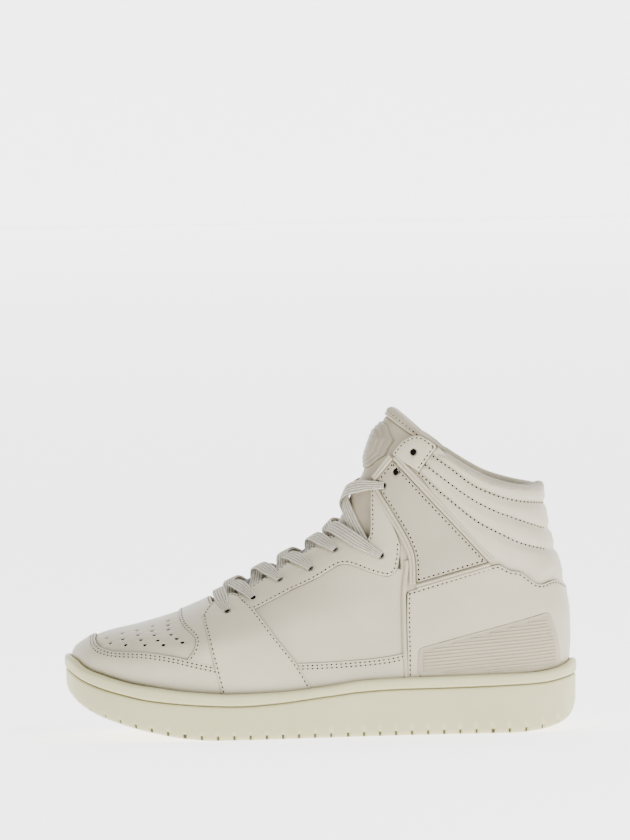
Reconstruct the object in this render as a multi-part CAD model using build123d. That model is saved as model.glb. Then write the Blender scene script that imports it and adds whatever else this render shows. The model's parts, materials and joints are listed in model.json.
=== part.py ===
"""High-top basketball shoe, left foot, men's EU 42: one solid for each physical piece.

Frame: millimetres, toe towards -X, heel towards +X, outer (lateral) side towards -Y, +Z up.
The origin is under the middle of the outsole, on the floor.

The whole upper follows one smooth surface, upper_point(s, v, side).  s runs from the heel
line (0) to the front ridge (1), v from the sole (0) to the top line (1).  Every panel is a
layer of that surface, between two depths, cut to an outline drawn in the side view (x, z).
"""
from build123d import *
import math
import os
import numpy as np

LATERAL, MEDIAL = -1, 1
SIDES = {"lat": LATERAL, "med": MEDIAL}

# ---- driving dimensions -------------------------------------------------------------------
GAP = 0.3                     # clearance between neighbouring panels
OVERLAY = (-1.3, 0.0)         # depth of the outermost leather, measured from the surface
BASE = (-2.8, -1.5)           # leather under the overlays: toe box, mid quarter, counter
LINING = (-4.3, -3.0)         # textile lining under the base leather
TRIM = (0.1, 1.2)             # trim that stands on the overlays
TONGUE = (-9.0, -3.6)         # padded tongue under the eyestays
COLLAR_FOAM = (-6.9, -1.5)    # padding of the ankle collar
COLLAR_LINING = (-8.3, -7.1)  # textile inside the collar
TIP_STIFFENER = (-5.4, -4.5)  # toe puff inside the vamp lining

CUP_CLEAR = 0.8               # between the upper and the cup of the outsole
CUP_WALL = 3.8                # thickness of the cup wall at its lip
LIP_STEP = 1.0                # the wall below the lip stands back this far
GROOVE_STEP = 2.2             # depth of the groove under the lip
GROOVE_HALF = 0.7
TREAD_STEP = 3.0              # the tread's edge stands back from the wall
TREAD_HEIGHT = 3.0
FLOOR_THICK = 5.5             # outsole floor under the midsole insert
NOTCH_PITCH, NOTCH_WIDTH, NOTCH_HEIGHT, NOTCH_DEPTH = 9.4, 1.8, 2.2, 2.2

BOARD = (0.4, 1.9)            # strobel board, height above the upper's lower edge
FOOTBED = (2.3, 6.8)          # removable footbed on the board
FOOTBED_GAP = 1.2             # around the footbed's edge

LACE_WIDE, LACE_NARROW, LACE_THICK = 6.8, 3.2, 1.0
LACE_OVER, LACE_UNDER = 1.6, -2.5   # lace centre above and below the stay
EYELET_RADIUS = 3.2
CROSS_LOW, CROSS_HIGH = 2.2, 4.4    # lace centres where two strands cross on the ridge

FOLD_V = 0.83                 # height of the tongue's fold, as v on the ridge
FOLD_SLANT = 24.0             # degrees that the flap's lower edge rises towards the heel

# ---- profiles of the surface in the side view (x, z) --------------------------------------
RIDGE = [(-135, 33), (-141, 39.5), (-144.3, 45.5), (-143.4, 51), (-138.3, 55.8), (-127, 61.6),
         (-104, 67), (-80, 74), (-57, 83.8), (-33.5, 95), (-10, 107), (1.7, 113.8), (9.5, 121),
         (15.4, 131.3), (19.8, 141.1), (25.2, 155.5), (30.2, 167), (36.2, 177.3), (45, 190.5)]
BACK = [(136.5, 25), (142.3, 33), (144.9, 42), (145.8, 55), (145.8, 66), (144.4, 78),
        (141.7, 92), (136.4, 110.5), (133, 128), (131.6, 147)]


def smooth(knots, values):
    """Smooth curve through the values that never overshoots them."""
    knots = np.asarray(knots, float)
    values = np.asarray(values, float)
    width = np.diff(knots)
    slope = np.diff(values) / width
    tangent = np.zeros_like(values)
    tangent[0], tangent[-1] = slope[0], slope[-1]
    for i in range(1, len(values) - 1):
        if slope[i - 1] * slope[i] > 0:
            before = 2 * width[i] + width[i - 1]
            after = width[i] + 2 * width[i - 1]
            tangent[i] = (before + after) / (before / slope[i - 1] + after / slope[i])

    def at(t):
        t = np.clip(np.asarray(t, float), knots[0], knots[-1])
        i = np.clip(np.searchsorted(knots, t, side="right") - 1, 0, len(width) - 1)
        u = (t - knots[i]) / width[i]
        start = (1 + 2 * u) * (1 - u) ** 2 * values[i] + u * (1 - u) ** 2 * width[i] * tangent[i]
        end = u * u * (3 - 2 * u) * values[i + 1] + u * u * (u - 1) * width[i] * tangent[i + 1]
        return start + end
    return at


def along(points):
    """x and z of a profile as functions of the share of its length."""
    p = np.array(points, float)
    length = np.concatenate([[0], np.cumsum(np.hypot(*np.diff(p, axis=0).T))])
    return smooth(length / length[-1], p[:, 0]), smooth(length / length[-1], p[:, 1])


ridge_x, ridge_z = along(RIDGE)
back_x, back_z = along(BACK)
half_width = {
    LATERAL: smooth([-150, -110, -70, -40, 0, 50, 100, 150], [44, 47, 49, 48, 42.5, 36.5, 34.5, 33]),
    MEDIAL: smooth([-150, -110, -70, -40, 0, 50, 100, 150], [46, 49, 49, 45.5, 37.5, 34, 34, 33]),
}
ankle_half = smooth([0, .3, .6, .8, 1], [34, 33.5, 32.5, 32.5, 34])
flare = smooth([0, .045, .09, 1], [.86, .95, 1, 1])
to_ankle = smooth([0, .12, .3, .5, .65, 1], [0, .05, .35, .8, 1, 1])
front_round = smooth([0, .15, .3, .45, .6, .75, 1], [62, 72, 94, 98, 80, 58, 48])
back_round = smooth([0, .5, 1], [34, 36, 34])
ROUND_POWER = 2.4
FOOT_DIP = 15.5


def upper_point(s, v, side):
    """Point of the upper's surface as an array (x, y, z)."""
    s = np.asarray(s, float)
    v = np.asarray(v, float)
    x0, z0, x1, z1 = back_x(v), back_z(v), ridge_x(v), ridge_z(v)
    x = x0 + (x1 - x0) * s
    z = z0 + (z1 - z0) * s - FOOT_DIP * np.sin(np.pi * s ** 1.5) * np.clip(1 - v / .4, 0, 1) ** 2
    length = np.hypot(x1 - x0, z1 - z0)
    front = 1 - np.clip(1 - (1 - s) * length / front_round(v), 0, 1) ** ROUND_POWER
    back = 1 - np.clip(1 - s * length / back_round(v), 0, 1) ** ROUND_POWER
    share = to_ankle(v)
    half = half_width[side](x) * flare(v) * (1 - share) + ankle_half(v) * share
    return np.stack([x, side * half * np.sqrt(front) * np.sqrt(back), z], axis=-1)


def turn_to_s(turn):
    """Even steps of turn (0 to pi) crowd the points towards the heel and the ridge."""
    return (1 - np.cos(turn)) / 2


def surface(turn, v, side, depth):
    """Point of the surface moved by depth along its outward normal."""
    step = 1e-3
    low, high = np.clip(turn - step, 0, np.pi), np.clip(turn + step, 0, np.pi)
    across = upper_point(turn_to_s(high), v, side) - upper_point(turn_to_s(low), v, side)
    up = (upper_point(turn_to_s(turn), np.clip(v + step, 0, 1), side)
          - upper_point(turn_to_s(turn), np.clip(v - step, 0, 1), side))
    normal = np.cross(across, up) * side
    on_ridge = (turn < 1e-6) | (turn > np.pi - 1e-6)
    normal[..., 1] = np.where(on_ridge, 0, normal[..., 1])
    normal /= np.linalg.norm(normal, axis=-1, keepdims=True)
    return upper_point(turn_to_s(turn), v, side) + depth * normal


def find(x, z, side):
    """The (turn, v) whose surface point has this x and z in the side view."""
    turn, v = 1.6, 0.4
    for _ in range(60):
        here = upper_point(turn_to_s(turn), v, side)
        by_turn = (upper_point(turn_to_s(turn + 1e-4), v, side) - here) / 1e-4
        by_v = (upper_point(turn_to_s(turn), v + 1e-4, side) - here) / 1e-4
        matrix = np.array([[by_turn[0], by_v[0]], [by_turn[2], by_v[2]]])
        move = np.linalg.lstsq(matrix, [x - here[0], z - here[2]], rcond=None)[0]
        turn = float(np.clip(turn + np.clip(move[0], -.2, .2), .02, math.pi - .02))
        v = float(np.clip(v + np.clip(move[1], -.1, .1), .001, .999))
    return turn, v


def on_upper(x, z, side, depth=0.0):
    """The 3-D point over (x, z) of the side view, at a depth of the upper."""
    turn, v = find(x, z, side)
    return surface(np.array(turn), np.array(v), side, depth)


# ---- solids from point grids --------------------------------------------------------------
TURNS = np.linspace(0, np.pi, 27)
HEIGHTS = np.linspace(0, 1, 25)
WRAP = np.linspace(-1.6, 1.6, 35)
FIT = {"tol": 0.02, "smoothing": (1, 1, 1), "max_deg": 8}


def as_vectors(grid):
    return [[Vector(*map(float, point)) for point in row] for row in grid]


def block(outer, inner):
    """Closed solid between two point grids of equal size."""
    top = Face.make_surface_from_array_of_points(as_vectors(outer), **FIT)
    bottom = Face.make_surface_from_array_of_points(as_vectors(inner), **FIT)
    sides = []
    for edge in top.edges():
        middle = edge.position_at(0.5)
        partner = min(bottom.edges(), key=lambda e: (e.position_at(0.5) - middle).length)
        sides.append(Face.make_surface_from_curves(edge, partner))
    return Solid(Shell([top, bottom] + sides))


def half_layer(side, depths, lowest=0.0):
    """One side of the upper between two depths, from heel line to ridge."""
    turn, v = np.meshgrid(TURNS, lowest + (1 - lowest) * HEIGHTS)
    inner, outer = (surface(turn, v, side, depth) for depth in depths)
    return block(outer, inner)


def wrapped_layer(front, depths, lowest=0.0):
    """Both sides of the upper between two depths, around the ridge or around the heel."""
    faces = []
    for depth in depths:
        rows = []
        for v in lowest + (1 - lowest) * HEIGHTS:
            rows.append([wrapped_point(q, v, depth, front) for q in WRAP])
        faces.append(np.array(rows))
    return block(faces[1], faces[0])


def wrapped_point(q, v, depth, front):
    """q is the turn away from the ridge (front) or heel line, negative on the lateral side."""
    side = LATERAL if q < 0 else MEDIAL
    turn = math.pi - abs(q) if front else abs(q)
    return surface(np.array(turn), np.array(v), side, depth)


def edge_through(points):
    """Smooth edge through points (x, z) of the side view; two points give a straight line."""
    spots = [Vector(x, 0, z) for x, z in points]
    return Edge.make_line(*spots) if len(spots) == 2 else Edge.make_spline(spots)


def face_of(*runs):
    """Side-view face whose outline is the given runs of points, joined end to end."""
    edges = [edge_through(run) for run in runs]
    closing = [edge_through([a[-1], b[0]]) for a, b in zip(runs, runs[1:] + runs[:1])
               if math.dist(a[-1], b[0]) > 1e-6]
    return Face(Wire.combine(edges + closing)[0])


DEPTH_Y = 80


def through(face, side):
    """The face swept sideways through one half of the shoe."""
    start = face.moved(Location((0, -3 * side, 0)))
    return Solid.extrude(start, Vector(0, (DEPTH_Y + 3) * side, 0))


def kerf(points, width=GAP):
    """Narrow side-view strip along a line: it cuts two neighbouring panels apart."""
    edge = edge_through(points)
    steps = 2 if len(points) == 2 else 4 * len(points)
    left, right = [], []
    for i in range(steps):
        share = i / (steps - 1)
        spot, way = edge.position_at(share), edge.tangent_at(share)
        side = Vector(-way.Z, 0, way.X) * (width / 2)
        left.append(((spot + side).X, (spot + side).Z))
        right.append(((spot - side).X, (spot - side).Z))
    return face_of(left, right[::-1])


def lying(face):
    """Side-view outline as a prism right across the shoe."""
    return Solid.extrude(face.moved(Location((0, -DEPTH_Y, 0))), Vector(0, 2 * DEPTH_Y, 0))


def nearest(solids, point):
    return min(solids, key=lambda solid: solid.distance_to(Vector(*map(float, point))))


def cut(shape, tools):
    """Solids left of a shape after the tools are taken away."""
    return (shape - tools).solids()


def keep(shape, tool):
    return (shape & tool).solids()


# ---- outlines in the side view ------------------------------------------------------------
THROAT = [(-59, 79.5), (-56, 80.6), (-49.4, 83), (-35.4, 89.4), (-18.9, 99.5), (-5.4, 107.4),
          (8.7, 115.5), (15, 116.2), (21, 113.5), (25.4, 112), (29, 114), (30.4, 120),
          (30.7, 132), (31, 141), (33.7, 149), (39.1, 157), (44, 163)]
TAB_TOP = [(44, 163), (49.8, 169.5), (54.5, 172.3), (58.9, 173.3), (63.5, 172), (70.7, 166.7)]
RIM = [(70.7, 166.7), (79, 159.2), (92.7, 150.5), (101.9, 146.2), (115.6, 142.6), (129.5, 141),
       (150, 140.5)]
MUDGUARD_EDGE = [(-119, 69), (-123.5, 63.6), (-128.8, 61.8), (-130.4, 59.2), (-129.2, 56.4),
                 (-124.3, 53.5), (-117.4, 52.3), (-99.4, 51.7), (-83.8, 49.3), (-72, 46.4),
                 (-60, 43.6)]
SADDLE_EDGE = [(-81, 79), (-81.6, 72.4), (-81.1, 68.9), (-77.8, 65.1), (-73.3, 61.3),
               (-71.8, 58), (-73.5, 53), (-80, 46.5)]
FOREFOOT_FRONT = [(-70.5, 84), (-67.7, 71.2), (-63.5, 52.2), (-57.6, 27.1), (-55, 10)]
FOREFOOT_BACK = [(-51, 87), (-46, 82.3), (-37.1, 74.6), (-25.4, 59.4), (-13.7, 44.1),
                 (-5.1, 29.5), (4, 10)]
EYESTAY_LOW = [(-39, 73.5), (-29, 78.6), (-16.7, 84.6), (-5.6, 89.2), (1.9, 93.1), (7.9, 96.7),
               (12.4, 98.8), (16.9, 99.1), (22, 97.5), (30.1, 94.3), (38.2, 92), (42.5, 92.4),
               (45.3, 95.5), (46.2, 103.2), (46.4, 110), (45.6, 116.5)]
SEAM_FRONT = [(24, 147), (30, 144), (34.8, 140.5), (39.5, 130), (43.9, 119.6), (48, 111.5),
              (50.5, 102.7), (51.2, 96.9), (49.9, 90), (48.3, 81.9), (47.8, 72.6), (47.7, 52.9),
              (48.4, 33.2), (48.5, 8)]
SEAM_BACK = [(53.6, 85.5), (52, 80), (50.8, 72.6), (50.7, 52.9), (51.5, 33.2), (51.5, 8)]
ANKLE_TOP = [(38, 165.8), (99.6, 98.2)]
ANKLE_LOW = [(99.8, 99.2), (55.8, 87.3)]
ANKLE_FRONT = [(56.2, 86.8), (56, 101.5), (53.8, 109.6), (49.5, 118.5), (41, 133), (36.5, 140.4),
               (33.5, 147), (31, 153)]
PIPING_TOP = [(37, 171.4), (103.4, 96.7)]
TAB_BACK = [(72.5, 169), (70.7, 166.7), (64.5, 158.5), (56.5, 148)]
HEEL_QUARTER_TOP = [(47.5, 82.1), (102.1, 97.5)]
HEEL_QUARTER_WAVE = [(101.6, 97.4), (105.5, 97.3), (110.9, 94.2), (116.9, 93), (120.9, 90.2),
                     (125.8, 86.4), (130, 85.6), (135.8, 87.3), (140, 86.2), (144.7, 81.8),
                     (150, 75)]
STRIP_TOP = [(-17, 43.6), (6, 44), (26.3, 44.9), (40, 46), (50, 48)]
RIBBED_INSET = [[(55.8, 30), (56.5, 46), (57.3, 49.6), (60.4, 51.2)],
                [(58.5, 50.6), (132.5, 69.4)],
                [(130.5, 69.6), (133.3, 68.2), (134.6, 65.5), (138.1, 52.9), (139.8, 30)],
                [(48, 36.6), (105, 37.0), (126, 37.8), (145, 40.5)]]
INNER_REST = [(-45, 68.5), (-30, 77), (-12, 85), (5, 91.5), (20, 93.5), (33, 93), (43.5, 96.5),
              (46.5, 106), (45, 122), (47, 138), (52, 150), (62, 163), (68, 174)]
INNER_BASE = [(-63.5, 90), (-63, 78), (-61, 69), (-56, 65)] + INNER_REST
INNER_LINING = [(-72, 90), (-71.5, 74), (-67, 66.5), (-58, 64)] + INNER_REST
COLLAR_FRONT = [(53, 76), (53, 108), (51, 124), (52, 138), (55.5, 148), (62, 158.5), (72, 172)]
EYELETS = [(-52.9, 73.4), (-37.8, 80.4), (-22.8, 91), (-4.9, 97.3), (9.6, 107.7), (36.1, 104.2),
           (38.5, 144.1), (46.1, 152.1), (56.5, 163.4)]
LACED = 7
SOLE_RIM = [(-153, 50.5), (-144.3, 46.6), (-138.1, 42.1), (-125.6, 37.8), (-109.9, 33.7),
            (-94.3, 31.2), (-75.5, 28.6), (-51.2, 26.9), (-26.2, 27.4), (5.7, 30.1),
            (25.5, 32.8), (50.8, 33.6), (105.6, 34.5), (125.7, 35), (140.7, 36.9), (153, 42)]
GROOVE = [(-154, 45), (-148.7, 41.6), (-138.2, 34.9), (-125.7, 30.3), (-113.3, 27.1),
          (-100.7, 24.3), (-85, 22.3), (-69.3, 20.9), (-46.2, 19.9), (-26.2, 20.9), (5.6, 24.3),
          (25.4, 26.3), (45.7, 27.1), (75.3, 27.3), (105.5, 27.9), (130.4, 28.9),
          (143.6, 30.9), (154, 33.5)]
TOE_SPRING = [(-150.5, 40), (-149.5, 33.8), (-148.1, 28.8), (-144, 23.3), (-132.3, 15.6),
              (-118.6, 10.6), (-107.3, 7.3), (-94.8, 4.4), (-82.3, 2), (-60, 0)]
HEEL_SPRING = [(112, 0), (125, .9), (135, 2.7), (143.1, 5.6), (147.1, 9.6), (149.5, 16)]


def raised(points, rise):
    return [(x, z + rise) for x, z in points]


OPENING_TOP = [(150, 215), (-75, 215), (-63.5, 90)]
U_FRONT = [(-63.5, 90), (-63.5, 84), (-62.4, 80.5), (-59, 79.5)]


def opening():
    """Everything above the throat, the eyelet tab and the rim."""
    return face_of(U_FRONT, THROAT, TAB_TOP, RIM, *[[a, b] for a, b in zip(
        [RIM[-1]] + OPENING_TOP, OPENING_TOP)])


def eyelet_hole(number, side):
    x, z = EYELETS[number]
    inside = on_upper(x, z, side, -8)
    outside = on_upper(x, z, side, 5)
    way = Vector(*map(float, outside - inside))
    return Solid.make_cylinder(EYELET_RADIUS, way.length, Plane(Vector(*map(float, inside)), z_dir=way))


# ---- panels -------------------------------------------------------------------------------
SIDE_PANELS = {"forefoot": (-40, 60), "eyestay": (-10, 98), "strip": (20, 40),
               "seam_piping": (49.3, 60), "ankle_panel": (62, 112), "ankle_piping": (79, 122.4),
               "eyelet_tab": (60, 166), "heel_quarter": (95, 75), "collar_panel": (115, 120)}
SIDE_CUTS = [FOREFOOT_FRONT, FOREFOOT_BACK, EYESTAY_LOW, SEAM_FRONT, SEAM_BACK, ANKLE_TOP,
             ANKLE_LOW, ANKLE_FRONT, PIPING_TOP, TAB_BACK, HEEL_QUARTER_TOP, HEEL_QUARTER_WAVE,
             STRIP_TOP]
TOE_BOX_END = [(-57.5, 71), (-57, 62), (-54.5, 53), (-51.5, 38), (-50, 8)]
VAMP_LINING_END = [(-66, 69), (-60, 55), (-56, 40), (-54, 8)]
SEAM_LINE = [(51.5, 5), (51.5, 84)]
SEAM_SHOULDER = [(51.8, 83.6), (40, 100)]
HEEL_TOP = [(51, 84), (155, 82)]
COLLAR_BOTTOM = [(40, 84.6), (160, 84.6)]
TOE_PUFF_LINES = [[(-160, 43.5), (-88, 43.5)], [(-96, 35), (-101, 90)]]


def side_panels():
    """Overlay panels of each side, and the quarter with its lining behind them."""
    found = {}
    quarter_cuts = {"mid_quarter": (BASE, TOE_BOX_END, INNER_BASE),
                    "quarter_lining": (LINING, VAMP_LINING_END, INNER_LINING)}
    for side_name, side in SIDES.items():
        holes = [eyelet_hole(i, side) for i in range(len(EYELETS))]
        tools = [through(kerf(line), side) for line in SIDE_CUTS]
        tools.append(through(opening(), side))
        pieces = cut(half_layer(side, OVERLAY), tools + holes)
        for name, spot in SIDE_PANELS.items():
            found[f"{name}_{side_name}"] = nearest(pieces, on_upper(*spot, side, OVERLAY[0] / 2))
        for name, (depths, front_end, inner_line) in quarter_cuts.items():
            lines = [front_end, SEAM_LINE, SEAM_SHOULDER, inner_line]
            found[f"{name}_{side_name}"] = patch(depths, lines, (10, 60), side)
    return found


def patch(depths, lines, spot, side):
    """The part of one side's layer around a spot (x, z), cut out along side-view lines."""
    pieces = cut(half_layer(side, depths), [through(kerf(line), side) for line in lines])
    return nearest(pieces, on_upper(*spot, side, sum(depths) / 2))


def wrapped_patch(front, depths, lines, spot, lowest=0.0, tools=()):
    """The same for a piece that runs across the ridge or around the heel."""
    cutters = [lying(kerf(line)) for line in lines] + list(tools)
    pieces = cut(wrapped_layer(front, depths, lowest), cutters)
    return nearest(pieces, on_upper(*spot, LATERAL, sum(depths) / 2))


def wrapped_panels():
    """Leather and textile that run across the toe or around the heel in one piece."""
    collar = [COLLAR_FRONT, raised([(64, 171)] + RIM, -1.6), COLLAR_BOTTOM]
    throat = [lying(opening())]
    over_toe = [MUDGUARD_EDGE, SADDLE_EDGE, FOREFOOT_FRONT]
    heel = [SEAM_LINE, HEEL_TOP]
    return {
        "mudguard": wrapped_patch(True, OVERLAY, over_toe, (-100, 44), tools=throat),
        "saddle": wrapped_patch(True, OVERLAY, over_toe, (-74, 70), tools=throat),
        "toe_box": wrapped_patch(True, BASE, [TOE_BOX_END, INNER_BASE], (-100, 60)),
        "vamp_lining": wrapped_patch(True, LINING, [VAMP_LINING_END, INNER_LINING], (-100, 60)),
        "toe_puff": wrapped_patch(True, TIP_STIFFENER, TOE_PUFF_LINES, (-120, 55), .04),
        "counter": wrapped_patch(False, BASE, heel, (100, 60)),
        "heel_lining": wrapped_patch(False, LINING, heel, (100, 60)),
        "collar_foam": wrapped_patch(False, COLLAR_FOAM, collar, (110, 115), .2),
        "collar_lining": wrapped_patch(False, COLLAR_LINING, collar, (110, 115), .2),
    }


def trim_parts():
    """Ribbed heel inset on each side: a plate standing on the heel quarter."""
    return {f"ribbed_inset_{name}": patch(TRIM, RIBBED_INSET, (100, 50), side)
            for name, side in SIDES.items()}


# ---- tongue -------------------------------------------------------------------------------
TONGUE_SIDE = [(-60, 64)] + [(x - 2.2, z + 1.4) for x, z in INNER_REST]
FLAP_HALF = 21.0          # half the flap's width; it passes between the eyelet tabs
FLAP_DEEP = 48.0          # how far its wings reach back
FLAP_REACH = 1.18         # how far round its section the wings run, in radians
FLAP_PROUD = -0.6         # depth of its outer face at the top
FOLD_RISE = math.tan(math.radians(FOLD_SLANT))
FLAP_DROP = 0.5           # slope of its top edge, down towards the heel
BADGE = (-1.5, -0.2)      # badge on the flap, as insets from its face
KEEPER = (-3.4, -2.6)     # depths of the lace keeper on the tongue
KEEPER_REACH = .2         # half its length, as the turn q round the ridge in radians
KEEPER_V = (.703, .737)


def ridge_frame(v, depth=0.0):
    """Point on the ridge at v, moved along the normal, with the ridge's direction."""
    spot = surface(np.array(np.pi), np.array(v), LATERAL, depth)
    way = np.array([ridge_x(v + .01) - ridge_x(v - .01), 0, ridge_z(v + .01) - ridge_z(v - .01)])
    return spot, way / np.linalg.norm(way)


FOLD = ridge_frame(FOLD_V, TONGUE[1])[0]


def tongue_base():
    """Padded tongue from under the vamp up to the fold."""
    under_fold = [(FOLD[0] - 20, FOLD[2] + 1.4), (FOLD[0] + 40, FOLD[2] - 3.8)]
    front = [(-69.5, 95), (-69, 75), (-64, 69), (-53, 66)]
    return wrapped_patch(True, TONGUE, [front, TONGUE_SIDE, under_fold], (0, 105), .2)


def flap_grid(inset, turns, shares):
    """Grid of the flap at an inset from its outer face, from side to side, fold to top."""
    rows = []
    for share in shares:
        v = FOLD_V + (.995 - FOLD_V) * share
        spot = ridge_frame(v, TONGUE[1] + (FLAP_PROUD - TONGUE[1]) * blend_step(share))[0]
        half = FLAP_HALF - 2.5 * (1 - share)
        row = []
        for turn in turns:
            back = inset + (FLAP_DEEP - inset) * (1 - math.cos(turn)) * .8
            slope = FOLD_RISE * (1 - share) - FLAP_DROP * share
            row.append((spot[0] + back, (half - inset) * math.sin(turn), spot[2] + back * slope))
        rows.append(row)
    return rows


def flap_block(insets, reach, low, high):
    turns = np.linspace(-reach, reach, 25)
    shares = np.linspace(low, high, 9)
    return block(flap_grid(insets[0], turns, shares), flap_grid(insets[1], turns, shares))


def tongue_parts():
    """Tongue below and above the fold, the badge on its front and the lace keeper."""
    turns = np.linspace(-KEEPER_REACH, KEEPER_REACH, 15)
    keeper = [[[wrapped_point(q, v, depth, front=True) for q in turns]
               for v in np.linspace(*KEEPER_V, 7)] for depth in KEEPER]
    return {
        "tongue_base": tongue_base(),
        "tongue_flap": flap_block((0, TONGUE[1] - TONGUE[0]), FLAP_REACH, 0, 1),
        "tongue_badge": flap_block(BADGE, .62, .16, .8),
        "lace_keeper": block(keeper[1], keeper[0]),
    }


# ---- laces --------------------------------------------------------------------------------
def lace_spot(q, v, depth):
    return wrapped_point(q, v, depth, front=True)


def lace_normal(q, v):
    way = lace_spot(q, v, 1.0) - lace_spot(q, v, 0.0)
    return way / np.linalg.norm(way)


def eyelet_place(number, side):
    turn, v = find(*EYELETS[number], side)
    return (math.pi - turn) * side, v


def blend_step(share):
    share = min(max(share, 0.0), 1.0)
    return share * share * (3 - 2 * share)


def ridge_height(start, end):
    """The v at which a band pulled straight from start to end (q, v) crosses the ridge."""
    near, far = lace_spot(*start, 0), lace_spot(*end, 0)
    middle = near + (far - near) * abs(start[0]) / (abs(start[0]) + abs(end[0]))
    heights = np.linspace(.1, .95, 341)
    spots = [lace_spot(1e-3, v, 0) for v in heights]
    return heights[int(np.argmin([np.hypot(*(spot - middle)[[0, 2]]) for spot in spots]))]


def crossing(start, end, start_depth, end_depth, height, steps=18):
    """Lace stations from one eyelet to another on the far side: (q, v, depth)."""
    (q0, v0), (q1, v1) = start, end
    bend = np.polyfit([q0, 0, q1], [v0, ridge_height(start, end), v1], 2)
    stations = []
    for i in range(steps + 1):
        share = i / steps
        q = q0 + (q1 - q0) * share
        v = float(np.polyval(bend, q))
        ridge = abs(q0) / (abs(q0) + abs(q1))
        if share < ridge:
            climb = blend_step((share / ridge - .7) / .28)
            depth = start_depth + (height - start_depth) * climb
        else:
            fall = blend_step(((share - ridge) / (1 - ridge) - .24) / .4)
            depth = height + (end_depth - height) * fall
        stations.append((q, v, depth))
    return stations


def turn_down(before, place):
    """Stations of the lace's turn down through an eyelet and back under the stay."""
    centre = lace_spot(*place, 0)
    normal = lace_normal(*place)
    way = centre - before
    way -= normal * way.dot(normal)
    way /= np.linalg.norm(way)
    radius = (LACE_OVER - LACE_UNDER) / 2
    middle = centre + normal * (LACE_OVER + LACE_UNDER) / 2 - way * radius
    stations = []
    for angle in np.radians([0, 30, 60, 90, 120, 150, 180]):
        spot = middle + radius * (math.sin(angle) * way + math.cos(angle) * normal)
        face = math.sin(angle) * way + math.cos(angle) * normal
        stations.append((spot, face, np.cross(way, normal)))
    return stations


def lace_section(spot, face, across, width):
    """Rectangular wire of the lace's cross-section."""
    a = across / np.linalg.norm(across) * width / 2
    b = face / np.linalg.norm(face) * LACE_THICK / 2
    corners = [spot + a + b, spot - a + b, spot - a - b, spot + a - b]
    return Wire.make_polygon([Vector(*map(float, c)) for c in corners], close=True)


def lace_half(first_side):
    """Sections of the lace from the middle of its bottom bar to one hidden end."""
    places = [eyelet_place(0, first_side)]
    side = first_side
    for number in range(1, LACED):
        side = -side
        places.append(eyelet_place(number, side))
    sections, ways_across = [], []

    def add(spot, face, across, width):
        """One more section, turned by half a turn where that avoids a twist."""
        across = across / np.linalg.norm(across)
        turned = -1 if ways_across and across.dot(ways_across[-1]) < 0 else 1
        ways_across.append(across * turned)
        sections.append(lace_section(spot, face * turned, across * turned, width))

    def run(stations, trim_start, trim_end):
        """Sections along stations, leaving room for the turns at both ends."""
        spots = [lace_spot(*station) for station in stations]
        for i in range(trim_start, len(stations) - trim_end):
            before = spots[max(i - 1, 0)]
            after = spots[min(i + 1, len(spots) - 1)]
            way = after - before
            face = lace_normal(*stations[i][:2])
            near_end = min(i - trim_start, len(stations) - trim_end - 1 - i)
            width = LACE_WIDE if near_end > 1 else (LACE_NARROW + LACE_WIDE) / 2
            add(spots[i], face, np.cross(way, face), width)
        return spots

    height = CROSS_HIGH if first_side == LATERAL else CROSS_LOW
    bar = crossing(eyelet_place(0, -first_side), places[0], LACE_OVER, LACE_OVER, CROSS_LOW)
    bar = [station for station in bar if station[0] * first_side >= -1e-9]
    spots = run(bar, 0, 2)
    for number, place in enumerate(places):
        last = number == len(places) - 1
        for spot, face, across in turn_down(spots[-3], place):
            add(spot, face, across, LACE_NARROW)
        if last:
            tail = [(place[0] * (1 - .04 * i), place[1] + .012 * i, LACE_UNDER) for i in range(7)]
            run(tail, 2, 0)
        else:
            spots = run(crossing(place, places[number + 1], LACE_UNDER, LACE_OVER, height), 3, 2)
    return sections


def lace():
    """The whole shoelace: one flat band through fourteen eyelets."""
    halves = [lace_half(side) for side in (LATERAL, MEDIAL)]
    solids = [Solid.make_loft(sections, ruled=True) for sections in halves]
    return solids[0].fuse(solids[1]).solids()[0]


# ---- sole ---------------------------------------------------------------------------------
def ring(depth, v_heel, v_toe):
    """Closed plan outline of the upper at a low level, moved out by depth."""
    turns = np.linspace(0, np.pi, 25)
    points = []
    for side, order in ((LATERAL, turns), (MEDIAL, turns[::-1][1:-1])):
        for turn in order:
            s = turn_to_s(turn)
            x, y, z = surface(np.array(turn), np.array(v_heel + (v_toe - v_heel) * s), side, 0)
            ahead = surface(np.array(min(turn + .01, np.pi)), np.array(v_heel + (v_toe - v_heel) * s),
                            side, 0)
            behind = surface(np.array(max(turn - .01, 0)), np.array(v_heel + (v_toe - v_heel) * s),
                             side, 0)
            way = ahead - behind
            way[1] = way[1] if 1e-6 < turn < np.pi - 1e-6 else way[1] + 1e-9
            out = np.array([way[1], -way[0]]) * side
            out = out / np.linalg.norm(out)
            if turn < 1e-6 or turn > np.pi - 1e-6:
                out = np.array([1.0 if turn < 1 else -1.0, 0])
            points.append(Vector(float(x + depth * out[0]), float(y + depth * out[1]), 0))
    return Face(Wire([Edge.make_spline(points, periodic=True)]))


def standing(face, height=90):
    """Plan outline as a tall prism."""
    return Solid.extrude(face.moved(Location((0, 0, -5))), Vector(0, 0, height))


def band(lower, upper):
    """Side-view face between two lines that both run from toe to heel."""
    return face_of(lower, [lower[-1], upper[-1]], upper[::-1], [upper[0], lower[0]])


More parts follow.
